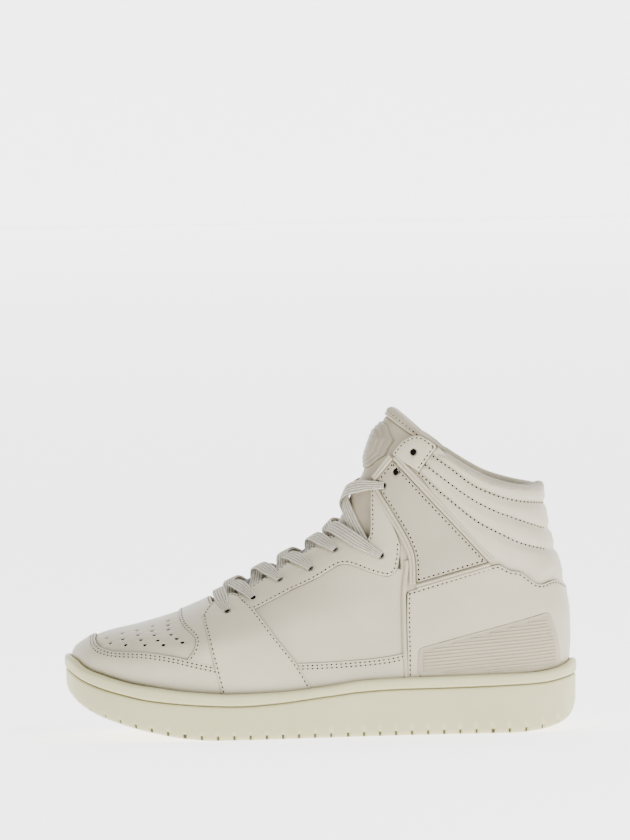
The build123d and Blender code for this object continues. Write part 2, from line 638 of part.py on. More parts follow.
def lower_edge(rise, count=13):
    """The upper's lower edge in the side view, from toe to heel, raised."""
    shares = (1 - np.cos(np.linspace(np.pi, 0, count))) / 2
    points = [upper_point(s, 0.0, LATERAL) for s in shares]
    line = [(float(p[0]), float(p[2]) + rise) for p in points]
    ahead = (line[0][0] - 25, line[0][1] + 6)
    behind = (line[-1][0] + 25, line[-1][1] + 2)
    return [ahead] + line + [behind]


def plate(plan, low, high):
    """Plate inside a plan outline that follows the upper's lower edge."""
    return keep(standing(plan), lying(band(lower_edge(low), lower_edge(high))))[0]


def under_line(points, rise=0.0):
    """Face from far below up to a line."""
    line = raised(points, rise)
    return face_of(line, [line[-1], (line[-1][0], -20)],
                   [(line[-1][0], -20), (line[0][0], -20)], [(line[0][0], -20), line[0]])


def tread_line(rise=0.0):
    """Runs of the outsole's underside: toe spring, flat, heel spring."""
    return [raised([(-156, 60)] + TOE_SPRING[:1], rise), raised(TOE_SPRING, rise),
            raised([TOE_SPRING[-1], HEEL_SPRING[0]], rise), raised(HEEL_SPRING, rise),
            raised([HEEL_SPRING[-1], (156, 60)], rise)]


def over_tread(rise=0.0):
    """Face from the outsole's underside up."""
    runs = tread_line(rise)
    return face_of(*runs, [runs[-1][-1], (156, 95)], [(156, 95), (-156, 95)],
                   [(-156, 95), runs[0][0]])


def notches():
    """Slots around the outsole's lower edge."""
    outline = ring(CUP_CLEAR + CUP_WALL - LIP_STEP, .13, .05).outer_wire()
    count = round(outline.length / NOTCH_PITCH)
    slots = []
    for i in range(count):
        spot, way = outline.position_at(i / count), outline.tangent_at(i / count)
        low = float(np.interp(spot.X, *zip(*(TOE_SPRING + HEEL_SPRING))))
        plane = Plane(Vector(spot.X, spot.Y, low + NOTCH_HEIGHT / 2 + 1.2), x_dir=way, z_dir=(0, 0, 1))
        box = Solid.make_box(NOTCH_WIDTH, 2 * NOTCH_DEPTH, NOTCH_HEIGHT)
        box = box.moved(Location((-NOTCH_WIDTH / 2, -NOTCH_DEPTH, -NOTCH_HEIGHT / 2)))
        slots.append(box.moved(plane.location))
    return slots


def outsole():
    """Cup outsole: tread, wall, groove and lip around the upper."""
    out = CUP_CLEAR + CUP_WALL
    level = lying(over_tread())
    lip = keep(standing(ring(out, .13, .05)), lying(band(raised(GROOVE, GROOVE_HALF), SOLE_RIM)))[0]
    neck = keep(standing(ring(out - GROOVE_STEP, .13, .05)),
                lying(band(raised(GROOVE, -GROOVE_HALF - 1), raised(GROOVE, GROOVE_HALF + 1))))[0]
    wall = keep(standing(ring(out - LIP_STEP, .13, .05)), lying(under_line(GROOVE, -GROOVE_HALF)))[0]
    wall = (wall & lying(over_tread(TREAD_HEIGHT))).solids()[0]
    tread = (standing(ring(out - TREAD_STEP, .13, .05)) & lying(under_line(GROOVE, -6))).solids()[0]
    tread = (tread & level).solids()[0]
    body = lip.fuse(neck, wall, tread)
    cavity = keep(standing(ring(CUP_CLEAR, .13, .05)), lying(over_tread(FLOOR_THICK)))[0]
    return (body - [cavity] - notches()).solids()[0]


def sole_parts():
    inner = LINING[0] - BOARD[0]
    filler = keep(standing(ring(0.0, .13, .05)), lying(over_tread(FLOOR_THICK + .2)))[0]
    filler = (filler & lying(under_line(lower_edge(-.5)))).solids()[0]
    return {
        "outsole": outsole(),
        "midsole_insert": filler,
        "strobel_board": plate(ring(inner, 0, 0), *BOARD),
        "footbed": plate(ring(inner - FOOTBED_GAP, 0, 0), *FOOTBED),
    }


def make_all():
    parts = {}
    parts.update(sole_parts())
    parts.update(side_panels())
    parts.update(wrapped_panels())
    parts.update(trim_parts())
    parts.update(tongue_parts())
    parts["lace"] = lace()
    return parts


if __name__ == "__main__":
    os.makedirs("parts", exist_ok=True)
    for name, solid in make_all().items():
        solid.label = name
        export_step(solid, f"parts/{name}.step", write_pcurves=False)
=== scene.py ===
"""Looks of the high-top basketball shoe: leather panels, stitching, laces, collar and tongue.

Outlines are drawn in the side view in millimetres (x towards the heel, z up), as in the CAD
part, and laid on the same upper surface.
"""
import json
import math
import bpy
import numpy as np
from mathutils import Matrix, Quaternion, Vector
from mathutils.geometry import delaunay_2d_cdt


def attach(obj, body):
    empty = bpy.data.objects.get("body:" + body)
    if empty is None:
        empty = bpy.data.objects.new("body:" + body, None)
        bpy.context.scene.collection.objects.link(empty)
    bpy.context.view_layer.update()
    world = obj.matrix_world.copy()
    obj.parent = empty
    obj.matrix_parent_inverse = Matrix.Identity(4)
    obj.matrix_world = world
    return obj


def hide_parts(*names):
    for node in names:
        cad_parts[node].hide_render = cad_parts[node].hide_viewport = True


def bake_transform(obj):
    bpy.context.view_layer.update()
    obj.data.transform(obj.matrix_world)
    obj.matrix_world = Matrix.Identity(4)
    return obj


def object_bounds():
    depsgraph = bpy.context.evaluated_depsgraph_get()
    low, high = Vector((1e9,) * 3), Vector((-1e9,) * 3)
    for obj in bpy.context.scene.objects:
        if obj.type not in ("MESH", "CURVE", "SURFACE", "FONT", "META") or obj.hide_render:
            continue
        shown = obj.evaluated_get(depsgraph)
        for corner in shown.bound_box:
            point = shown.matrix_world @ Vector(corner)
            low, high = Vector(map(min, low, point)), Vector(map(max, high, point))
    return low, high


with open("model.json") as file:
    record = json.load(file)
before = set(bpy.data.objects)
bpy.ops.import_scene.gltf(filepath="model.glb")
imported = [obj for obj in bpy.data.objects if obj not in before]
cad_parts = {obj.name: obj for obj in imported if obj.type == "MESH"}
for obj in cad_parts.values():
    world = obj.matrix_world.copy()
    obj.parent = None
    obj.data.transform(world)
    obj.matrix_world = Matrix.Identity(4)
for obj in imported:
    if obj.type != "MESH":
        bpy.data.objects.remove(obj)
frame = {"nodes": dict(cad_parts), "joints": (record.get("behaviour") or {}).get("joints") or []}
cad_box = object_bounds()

MM = .001

# ---- the upper's surface ------------------------------------------------------------------
RIDGE = [(-135, 33), (-141, 39.5), (-144.3, 45.5), (-143.4, 51), (-138.3, 55.8), (-127, 61.6),
         (-104, 67), (-80, 74), (-57, 83.8), (-33.5, 95), (-10, 107), (1.7, 113.8), (9.5, 121),
         (15.4, 131.3), (19.8, 141.1), (25.2, 155.5), (30.2, 167), (36.2, 177.3), (45, 190.5)]
BACK = [(136.5, 25), (142.3, 33), (144.9, 42), (145.8, 55), (145.8, 66), (144.4, 78),
        (141.7, 92), (136.4, 110.5), (133, 128), (131.6, 147)]
FOOT_DIP, ROUND_POWER = 15.5, 2.4


def smooth(knots, values):
    """Smooth curve through the values that never overshoots them."""
    knots, values = np.asarray(knots, float), np.asarray(values, float)
    width = np.diff(knots)
    slope = np.diff(values) / width
    tangent = np.zeros_like(values)
    tangent[0], tangent[-1] = slope[0], slope[-1]
    for i in range(1, len(values) - 1):
        if slope[i - 1] * slope[i] > 0:
            before, after = 2 * width[i] + width[i - 1], width[i] + 2 * width[i - 1]
            tangent[i] = (before + after) / (before / slope[i - 1] + after / slope[i])

    def at(t):
        t = np.clip(np.asarray(t, float), knots[0], knots[-1])
        i = np.clip(np.searchsorted(knots, t, side="right") - 1, 0, len(width) - 1)
        u = (t - knots[i]) / width[i]
        start = (1 + 2 * u) * (1 - u) ** 2 * values[i] + u * (1 - u) ** 2 * width[i] * tangent[i]
        end = u * u * (3 - 2 * u) * values[i + 1] + u * u * (u - 1) * width[i] * tangent[i + 1]
        return start + end
    return at


def along(points):
    p = np.array(points, float)
    length = np.concatenate([[0], np.cumsum(np.hypot(*np.diff(p, axis=0).T))])
    return smooth(length / length[-1], p[:, 0]), smooth(length / length[-1], p[:, 1])


ridge_x, ridge_z = along(RIDGE)
back_x, back_z = along(BACK)
half_lateral = smooth([-150, -110, -70, -40, 0, 50, 100, 150], [44, 47, 49, 48, 42.5, 36.5, 34.5, 33])
half_medial = smooth([-150, -110, -70, -40, 0, 50, 100, 150], [46, 49, 49, 45.5, 37.5, 34, 34, 33])
ankle_half = smooth([0, .3, .6, .8, 1], [34, 33.5, 32.5, 32.5, 34])
flare = smooth([0, .045, .09, 1], [.86, .95, 1, 1])
to_ankle = smooth([0, .12, .3, .5, .65, 1], [0, .05, .35, .8, 1, 1])
front_round = smooth([0, .15, .3, .45, .6, .75, 1], [62, 72, 94, 98, 80, 58, 48])
back_round = smooth([0, .5, 1], [34, 36, 34])


def upper_point(q, v):
    """Point in mm. q is the turn from the front ridge: 0 there, -pi and pi at the heel line,
    negative on the outer side; v runs from the sole (0) to the top line (1)."""
    q, v = np.asarray(q, float), np.asarray(v, float)
    s = (1 + np.cos(q)) / 2
    x0, z0, x1, z1 = back_x(v), back_z(v), ridge_x(v), ridge_z(v)
    x = x0 + (x1 - x0) * s
    z = z0 + (z1 - z0) * s - FOOT_DIP * np.sin(np.pi * s ** 1.5) * np.clip(1 - v / .4, 0, 1) ** 2
    length = np.hypot(x1 - x0, z1 - z0)
    front = 1 - np.clip(1 - (1 - s) * length / front_round(v), 0, 1) ** ROUND_POWER
    back = 1 - np.clip(1 - s * length / back_round(v), 0, 1) ** ROUND_POWER
    share = to_ankle(v)
    half = np.where(q < 0, half_lateral(x), half_medial(x)) * flare(v) * (1 - share)
    half = half + ankle_half(v) * share
    return np.stack([x, np.sign(q) * half * np.sqrt(front) * np.sqrt(back), z], axis=-1)


def upper_normal(q, v):
    step = 1e-3
    q = np.where(np.abs(q) < 2 * step, np.where(q < 0, -1, 1) * 2 * step, q)
    q = np.clip(q, -np.pi + 2 * step, np.pi - 2 * step)
    across = upper_point(q + step, v) - upper_point(q - step, v)
    up = upper_point(q, np.clip(v + step, 0, 1)) - upper_point(q, np.clip(v - step, 0, 1))
    normal = np.cross(up, across)
    return normal / np.linalg.norm(normal, axis=-1, keepdims=True)


def spots_of(qv):
    """3-D points in mm of rows of chart coordinates."""
    return upper_point(qv[:, 0], qv[:, 1])


def normals_of(qv):
    return upper_normal(qv[:, 0], qv[:, 1])


def unit(vectors):
    return vectors / np.linalg.norm(vectors, axis=-1, keepdims=True)


def lay(q, v, depth=0.0):
    """Points in mm over the chart, moved out by depth."""
    depth = np.asarray(depth, float)
    return upper_point(q, v) + upper_normal(q, v) * depth[..., None]


SEED_Q, SEED_V = (grid.ravel() for grid in np.meshgrid(np.linspace(.03, np.pi - .03, 90),
                                                        np.linspace(0, 1, 90)))
SEED_SPOTS = upper_point(-SEED_Q, SEED_V)[:, [0, 2]]


def chart(points, side):
    """Chart coordinates (q, v) of side-view points (x, z) on one side."""
    points = np.asarray(points, float)
    nearest = [int(np.argmin(((SEED_SPOTS - p) ** 2).sum(1))) for p in points]
    q, v = side * SEED_Q[nearest], SEED_V[nearest].copy()
    for _ in range(40):
        here = upper_point(q, v)[:, [0, 2]]
        by_q = (upper_point(q + 1e-4, v)[:, [0, 2]] - here) / 1e-4
        by_v = (upper_point(q, v + 1e-4)[:, [0, 2]] - here) / 1e-4
        miss = points - here
        a, b, c, d = by_q[:, 0], by_v[:, 0], by_q[:, 1], by_v[:, 1]
        det = a * d - b * c
        det = np.where(np.abs(det) < 1e-3, np.where(det < 0, -1e-3, 1e-3), det)
        q = q + np.clip((d * miss[:, 0] - b * miss[:, 1]) / det, -.06, .06)
        v = v + np.clip((a * miss[:, 1] - c * miss[:, 0]) / det, -.03, .03)
        q = side * np.clip(side * q, 1e-3, np.pi - 1e-3)
        v = np.clip(v, 0.0, 1.0)
    return np.stack([q, v], axis=-1)


# ---- outlines -----------------------------------------------------------------------------
def arc(points):
    """Length along a line at each of its points."""
    return np.concatenate([[0], np.cumsum(np.linalg.norm(np.diff(points, axis=0), axis=1))])


def pick(places, known, points):
    """Rows of points at the given places along the known ones."""
    return np.stack([np.interp(places, known, points[:, k]) for k in range(points.shape[1])], axis=-1)


def curve(points, spacing=1.3):
    """Side-view points along a smooth line through the given ones, evenly spaced."""
    p = np.asarray(points, float)
    if len(p) > 2:
        ends = [2 * p[0] - p[1], 2 * p[-1] - p[-2]]
        knots = np.concatenate([[ends[0]], p, [ends[1]]])
        dense = []
        for a, b, c, d in zip(knots, knots[1:], knots[2:], knots[3:]):
            for t in np.linspace(0, 1, 12, endpoint=False):
                dense.append(.5 * (2 * b + (c - a) * t + (2 * a - 5 * b + 4 * c - d) * t * t
                                   + (3 * b - a - 3 * c + d) * t ** 3))
        p = np.array(dense + [p[-1]])
    return resample(p, spacing)


def resample(points, step):
    length = arc(points)
    count = max(2, int(round(length[-1] / step)) + 1)
    return pick(np.linspace(0, length[-1], count), length, points)


def new_object(name, verts, faces, material, smooth_shading=True, materials=(), slots=None):
    mesh = bpy.data.meshes.new(name)
    mesh.from_pydata([tuple(map(float, v)) for v in verts], [], [tuple(map(int, f)) for f in faces])
    mesh.materials.append(material)
    for extra in materials:
        mesh.materials.append(extra)
    if slots is not None:
        mesh.polygons.foreach_set("material_index", slots)
    mesh.validate()
    mesh.polygons.foreach_set("use_smooth", [smooth_shading] * len(mesh.polygons))
    mesh.update()
    piece = bpy.data.objects.new(name, mesh)
    bpy.context.scene.collection.objects.link(piece)
    return piece


RINGS = (.18, .45, .85, 1.3, 1.8, 2.3, 3.1)
CHART_SCALE = np.array([60.0, 200.0])


def jacobian(q, v):
    by_q = (upper_point(q + 1e-4, v) - upper_point(q - 1e-4, v)) / 2e-4
    low, high = np.clip(v - 1e-4, 0, 1), np.clip(v + 1e-4, 0, 1)
    by_v = (upper_point(q, high) - upper_point(q, low)) / (high - low)[..., None]
    return by_q, by_v


def chart_shift(qv, move):
    """Chart coordinates moved by a 3-D vector in mm that lies in the surface."""
    by_q, by_v = jacobian(qv[:, 0], qv[:, 1])
    a, b, d = (by_q * by_q).sum(1), (by_q * by_v).sum(1), (by_v * by_v).sum(1)
    e, f = (by_q * move).sum(1), (by_v * move).sum(1)
    det = a * d - b * b + 1e-9
    return qv + np.stack([(d * e - b * f) / det, (a * f - b * e) / det], axis=-1)


def inward(qv, closed):
    """Unit vectors in the surface, to the left of a line's direction."""
    spots = spots_of(qv)
    if closed:
        way = np.roll(spots, -1, axis=0) - np.roll(spots, 1, axis=0)
    else:
        way = np.gradient(spots, axis=0)
    way /= np.linalg.norm(way, axis=1, keepdims=True) + 1e-12
    return np.cross(normals_of(qv), way), spots


def distances(spots, line):
    """Distance in mm from each spot to the nearest stretch of a 3-D line."""
    a, b = line[:-1], line[1:]
    ab = b - a
    size = (ab * ab).sum(1) + 1e-12
    best = np.full(len(spots), 1e9)
    for i in range(0, len(spots), 800):
        block = spots[i:i + 800]
        t = np.clip(((block[:, None] - a) * ab).sum(2) / size, 0, 1)
        gap = block[:, None] - (a + t[..., None] * ab)
        best[i:i + 800] = np.sqrt((gap * gap).sum(2).min(1))
    return best


def square_off(line, at_start, reach=.45, count=26):
    """The chart line with its end at the ridge made an even curve that crosses it squarely."""
    if not at_start:
        return square_off(line[::-1], True, reach, count)[::-1]
    far = int(np.argmax(np.abs(line[:, 0]) > reach))
    if far < 3:
        far = len(line) - 1
    near = line[:far + 1]
    even = np.polyfit(near[:, 0] ** 2, near[:, 1], 2)
    q = np.linspace(np.sign(line[far, 0]) * 1e-3, line[far, 0], count)
    v = np.polyval(even, q ** 2)
    v += (line[far, 1] - v[-1]) * (q / q[-1]) ** 4
    return np.concatenate([np.stack([q, v], axis=-1), line[far + 1:]])


GRID_Q, GRID_V = .022, .0125    # a panel's inner grid, in the chart's q and v
PUFF_REACH = 6.0                # mm from a panel's edge over which its padding rises


class Panel:
    """One leather panel: an outline on the upper with a rounded edge and stitched rows."""

    def __init__(self, name, runs, side, level, thick, material, puff=0.0, holes=(), base=None,
                 relief=None, edge=.85):
        self.name, self.level = name, level
        self.material, self.puff, self.relief, self.edge = material, puff, relief, edge
        self.base = level - thick if base is None else base
        self.holes = holes
        self.rows = []
        self.sides = (-1, 1) if side == 0 else (side,)
        loops = []
        for one in self.sides:
            qv, marks = [], []
            for index, (points, rows) in enumerate(runs):
                line = chart(curve(points), one)
                if side == 0 and rows and index in (0, len(runs) - 1):
                    line = square_off(line, index == 0)
                qv.append(line[:-1])
                self.rows += [(line, inset) for inset in rows]
                marks.append(line)
            loops.append((np.concatenate(qv + ([marks[-1][-1:]] if side == 0 else [])), one))
        if side == 0:
            first, second = loops
            self.loop = np.concatenate([first[0], second[0][::-1]])
        else:
            self.loop = loops[0][0]
        self.build()

    def border(self):
        """The outline as a closed line of 3-D points."""
        spots = spots_of(self.loop)
        return np.concatenate([spots, spots[:1]])

    def height(self, spots, qv):
        d = distances(spots, self.border())
        round_edge = 1 - np.clip(1 - d / self.edge, 0, 1) ** 2
        tall = self.base + (self.level - self.base) * np.sqrt(round_edge)
        tall += self.puff * (1 - np.exp(-d / PUFF_REACH))
        for line, inset in self.rows:
            gap = distances(spots, spots_of(line))
            tall -= .22 * np.exp(-((gap - inset) / .5) ** 2) * (d > .3)
        if self.relief is not None:
            tall += self.relief(spots, qv) * np.clip(d / 1.5, 0, 1)
        return np.where(d < .05, self.base, tall), d

    def build(self):
        loop = self.loop
        area = np.sum(loop[:, 0] * np.roll(loop[:, 1], -1) - np.roll(loop[:, 0], -1) * loop[:, 1])
        if area < 0:
            loop = loop[::-1]
        left, spots = inward(loop, True)
        probe = chart_shift(loop, left * .5)
        if not inside(probe[len(probe) // 3], loop) and not inside(probe[len(probe) // 2], loop):
            left = -left
        border = np.concatenate([spots, spots[:1]])
        candidates = []
        for ring in RINGS:
            moved = chart_shift(loop, left * ring)
            gap = distances(spots_of(moved), border)
            candidates.append(moved[gap > ring * .93])
        q_low, v_low = loop.min(0)
        q_high, v_high = loop.max(0)
        rows = []
        for k, v in enumerate(np.arange(v_low, v_high, GRID_V)):
            line = np.arange(q_low, q_high, GRID_Q) + (k % 2) * GRID_Q / 2
            rows.append(np.stack([line, np.full_like(line, v)], axis=-1))
        grid = np.concatenate(rows)
        gap = distances(spots_of(grid), border)
        candidates.append(grid[gap > RINGS[-1] + .9])
        extra = np.concatenate(candidates)
        extra = extra[np.abs(extra[:, 0]) < np.pi]
        extra = extra[[inside(p, loop) for p in extra]]
        hole_rims = self.hole_points()
        for centre, rim in self.hole_centres:
            away = (extra - centre) * CHART_SCALE
            extra = extra[np.hypot(away[:, 0], away[:, 1]) > rim]
        points = np.concatenate([loop, extra] + hole_rims)
        flat = [Vector(p) for p in (points * CHART_SCALE)]
        count = len(loop)
        edges = [(i, (i + 1) % count) for i in range(count)]
        verts, _, faces, _, _, _ = delaunay_2d_cdt(flat, edges, [], 1, 1e-5)
        qv = np.array([tuple(p) for p in verts]) / CHART_SCALE
        spots = spots_of(qv)
        tall, d = self.height(spots, qv)
        tall = self.sink_holes(spots, tall)
        normal = normals_of(qv)
        top = (spots + normal * tall[:, None]) * MM
        under = (spots + normal * (self.base - .25)) * MM
        faces = [tuple(f) for f in faces]
        total = len(top)
        sense = self.sense(top, faces, normal)
        top_faces = [f if sense > 0 else f[::-1] for f in faces]
        low_faces = [tuple(i + total for i in f[::-1]) for f in top_faces]
        walls = boundary_walls(top_faces, total)
        # The side walls take the near-black edge material (slot 1): painted shade along the panel's edge.
        slots = [0] * (len(top_faces) + len(low_faces)) + [1] * len(walls)
        for i, face in enumerate(top_faces):
            # Faces sunk into eyelet and perforation pits take the near-black pit material: painted shade
            # inside the holes.
            if self.sunk[list(face)].mean() > .5:
                slots[i] = 2
            # Top faces within .36 mm of the border take the near-black edge material: painted shade of the
            # edge's shadow line.
            elif d[list(face)].mean() < .36:
                slots[i] = 1
        self.object = new_object(self.name, np.concatenate([top, under]), top_faces + low_faces + walls,
                                 self.material, materials=(CUT_EDGE_AND_SHADE, PIT_SHADE), slots=slots)

    @staticmethod
    def sense(points, faces, normal):
        total = 0.0
        for f in faces[::max(1, len(faces) // 60)]:
            a, b, c = points[f[0]], points[f[1]], points[f[2]]
            total += float(np.dot(np.cross(b - a, c - a), normal[f[0]]))
        return total

    def hole_points(self):
        self.hole_centres, self.hole_spots, rims = [], [], []
        for x, z, radius, deep in self.holes:
            for one in self.sides:
                centre = chart([(x, z)], one)
                spot = spots_of(centre)
                normal = normals_of(centre)[0]
                a = unit(np.cross(normal, (0, 0, 1.0)))
                b = np.cross(normal, a)
                for share in (1.35, 1.0, .82, .4):
                    turns = np.linspace(0, 2 * np.pi, 12, endpoint=False)
                    move = radius * share * (np.cos(turns)[:, None] * a + np.sin(turns)[:, None] * b)
                    rims.append(chart_shift(np.repeat(centre, 12, 0), move))
                self.hole_spots.append((spot[0], radius, deep))
                reach = np.hypot(*((rims[-4] - centre) * CHART_SCALE).T).max()
                self.hole_centres.append((centre[0], reach * 1.12))
        return rims

    def sink_holes(self, spots, tall):
        self.sunk = np.zeros(len(spots))
        for spot, radius, deep in self.hole_spots:
            gap = np.linalg.norm(spots - spot, axis=1)
            share = np.clip((radius * 1.2 - gap) / (radius * .38), 0, 1)
            tall = tall - deep * share ** 1.5
            self.sunk = np.maximum(self.sunk, share)
        return tall

    def row_lines(self):
        """Stitch rows as lists of 3-D points in mm with normals, evenly stepped."""
        lines = []
        for line, inset in self.rows:
            left, spots = inward(line, False)
            middle = len(line) // 2
            probe = chart_shift(line[middle:middle + 1], left[middle:middle + 1] * 1.0)[0]
            if not inside(probe, self.loop):
                left = -left
            moved = chart_shift(line, left * inset)
            gap = distances(spots_of(moved), self.border())
            moved = moved[gap > inset * .85]
            if len(moved) > 3:
                puffed = self.puff * (1 - math.exp(-inset / PUFF_REACH))
                lines.append((moved, self.level + puffed - .2))
        return lines


def inside(point, loop):
    x, y = point
    px, py = loop[:, 0], loop[:, 1]
    qx, qy = np.roll(px, -1), np.roll(py, -1)
    crossing = ((py > y) != (qy > y))
    with np.errstate(divide="ignore", invalid="ignore"):
        at = px + (y - py) * (qx - px) / (qy - py)
    return bool(np.count_nonzero(crossing & (x < at)) % 2)


def band_faces(count, size, closed=False):
    """Quads between count rings of size points each, with end caps unless it is closed."""
    faces = []
    for i in range(count if closed else count - 1):
        k = (i + 1) % count
        for j in range(size):
            m = (j + 1) % size
            faces.append((i * size + j, i * size + m, k * size + m, k * size + j))
    if not closed:
        faces.append(tuple(range(size - 1, -1, -1)))
        faces.append(tuple((count - 1) * size + j for j in range(size)))
    return faces


def boundary_walls(faces, total):
    """Quads that join the top's border to the underside's."""
    seen = {}
    for f in faces:
        for a, b in zip(f, f[1:] + f[:1]):
            seen[(a, b)] = True
    return [(b, a, a + total, b + total) for (a, b) in seen if (b, a) not in seen]


# ---- materials ----------------------------------------------------------------------------
def node_material(name, color, rough, sheen=0.0, coat=0.0):
    material = bpy.data.materials.new(name)
    material.use_nodes = True
    tree = material.node_tree
    shader = next(n for n in tree.nodes if n.type == "BSDF_PRINCIPLED")
    shader.inputs["Base Color"].default_value = (*color, 1)
    shader.inputs["Roughness"].default_value = rough
    shader.inputs["Sheen Weight"].default_value = sheen
    shader.inputs["Coat Weight"].default_value = coat
    shader.inputs["Coat Roughness"].default_value = .35
    return material, tree, shader


def add(tree, kind, **sockets):
    node = tree.nodes.new(kind)
    for key, value in sockets.items():
        node.inputs[key].default_value = value
    return node


def vary_color(tree, shader, color, dark, scale, low=.35, high=.65):
    """Base colour that drifts between two shades."""
    where = tree.nodes.new("ShaderNodeTexCoord")
    noise = add(tree, "ShaderNodeTexNoise", Scale=scale, Detail=5.0, Roughness=.6)
    ramp = tree.nodes.new("ShaderNodeValToRGB")
    ramp.color_ramp.elements[0].position = low
    ramp.color_ramp.elements[0].color = (*dark, 1)
    ramp.color_ramp.elements[1].position = high
    ramp.color_ramp.elements[1].color = (*color, 1)
    tree.links.new(where.outputs["Object"], noise.inputs["Vector"])
    tree.links.new(noise.outputs["Fac"], ramp.inputs["Fac"])
    tree.links.new(ramp.outputs["Color"], shader.inputs["Base Color"])
    return where


def add_bump(tree, shader, height, strength, distance, before=None):
    bump = add(tree, "ShaderNodeBump", Strength=strength, Distance=distance)
    tree.links.new(height, bump.inputs["Height"])
    if before is not None:
        tree.links.new(before.outputs["Normal"], bump.inputs["Normal"])
    tree.links.new(bump.outputs["Normal"], shader.inputs["Normal"])
    return bump


def leather(name, color, dark, rough=.46, grain=1.0):
    """Finished leather: pebbled grain, faint creases, soft drift of colour and gloss."""
    material, tree, shader = node_material(name, color, rough, coat=.06)
    where = vary_color(tree, shader, color, dark, 34)
    pebble = add(tree, "ShaderNodeTexVoronoi", Scale=1150.0)
    pebble.feature = "SMOOTH_F1"
    creases = add(tree, "ShaderNodeTexNoise", Scale=260.0, Detail=6.0, Roughness=.65)
    soft = add(tree, "ShaderNodeTexNoise", Scale=60.0, Detail=3.0)
    for node in (pebble, creases, soft):
        tree.links.new(where.outputs["Object"], node.inputs["Vector"])
    first = add_bump(tree, shader, creases.outputs["Fac"], .22 * grain, .0006)
    second = add_bump(tree, shader, pebble.outputs["Distance"], .18 * grain, .0003, first)
    tree.links.new(second.outputs["Normal"], shader.inputs["Normal"])
    gloss = add(tree, "ShaderNodeMapRange", **{"To Min": rough - .08, "To Max": rough + .1})
    tree.links.new(soft.outputs["Fac"], gloss.inputs["Value"])
    tree.links.new(gloss.outputs["Result"], shader.inputs["Roughness"])
    return material


def textile(name, color, dark, thread=.9, rough=.85, strength=.5):
    """Knitted or woven cloth: two crossed wave patterns over a soft noise."""
    material, tree, shader = node_material(name, color, rough, sheen=.25)
    where = vary_color(tree, shader, color, dark, 420, .3, .7)
    waves = []
    for direction in ("X", "Z"):
        wave = add(tree, "ShaderNodeTexWave", Scale=320.0 / thread, Distortion=1.5, Detail=2.0)
        wave.bands_direction = direction
        tree.links.new(where.outputs["Object"], wave.inputs["Vector"])
        waves.append(wave)
    mix = tree.nodes.new("ShaderNodeMath")
    mix.operation = "MULTIPLY"
    tree.links.new(waves[0].outputs["Fac"], mix.inputs[0])
    tree.links.new(waves[1].outputs["Fac"], mix.inputs[1])
    add_bump(tree, shader, mix.outputs[0], strength, .0004)
    return material


def rubber(name, color, dark, rough=.55):
    material, tree, shader = node_material(name, color, rough)
    where = vary_color(tree, shader, color, dark, 22)
    fine = add(tree, "ShaderNodeTexNoise", Scale=1500.0, Detail=3.0)
    tree.links.new(where.outputs["Object"], fine.inputs["Vector"])
    add_bump(tree, shader, fine.outputs["Fac"], .12, .0003)
    return material


CREAM = leather("cream_leather", (.60, .55, .40), (.555, .505, .362))
CREAM_SOFT = leather("cream_leather_soft", (.59, .54, .393), (.545, .495, .356), .5, 1.3)
BEIGE = leather("beige_leather", (.455, .405, .29), (.415, .368, .258), .5, .8)
PIPING = leather("piping_leather", (.54, .48, .35), (.49, .43, .305), .5, .7)
# Near-black edge material: partly the darker raw cut edge of the leather, mostly painted shade standing in
# for the shadow lines along the panels' edges.
CUT_EDGE_AND_SHADE = leather("cut_edge_and_painted_shade", (.12, .094, .058), (.09, .07, .042), .8, .5)
SOLE = rubber("sole_rubber", (.63, .60, .335), (.59, .56, .305), .5)
# Near-black rubber for the faces inside the sole's notches: painted shade in the notches.
NOTCH_SHADE = rubber("notch_painted_shade", (.12, .10, .05), (.09, .075, .035), .8)
# Darker sole tone for the deepest faces of the sole's groove: painted shade in the groove.
GROOVE_SHADE = rubber("groove_painted_shade", (.27, .235, .12), (.24, .205, .10), .7)
BADGE = rubber("badge_rubber", (.385, .34, .25), (.345, .30, .22), .45)
TRIM = rubber("trim_rubber", (.49, .43, .305), (.455, .395, .275), .55)
LACE = textile("lace_textile", (.70, .66, .53), (.53, .49, .38), .5)
MESH = textile("tongue_textile", (.10, .09, .08), (.055, .05, .043), 1.3)
LINING = textile("lining_textile", (.47, .415, .305), (.40, .35, .25), 1.1)
THREAD = textile("thread", (.62, .56, .43), (.54, .48, .36), .35)
# Darker lace tone for the valleys between the lace's ribs: painted shade.
LACE_VALLEY_SHADE = textile("lace_valley_shade", (.36, .33, .25), (.27, .25, .19), .5)
# Near-black needle-hole pellets without specular: painted shade of the stitch holes.
HOLE_SHADE, _, hole_shader = node_material("needle_hole_shade", (.012, .009, .006), .95)
# Near-black material for the eyelet discs and the sunk faces of eyelet and perforation pits, without
# specular: painted shade inside the holes.
PIT_SHADE, _, eyelet_shader = node_material("pit_shade", (.006, .005, .004), .95)
for shader in (hole_shader, eyelet_shader):
    shader.inputs["Specular IOR Level"].default_value = 0


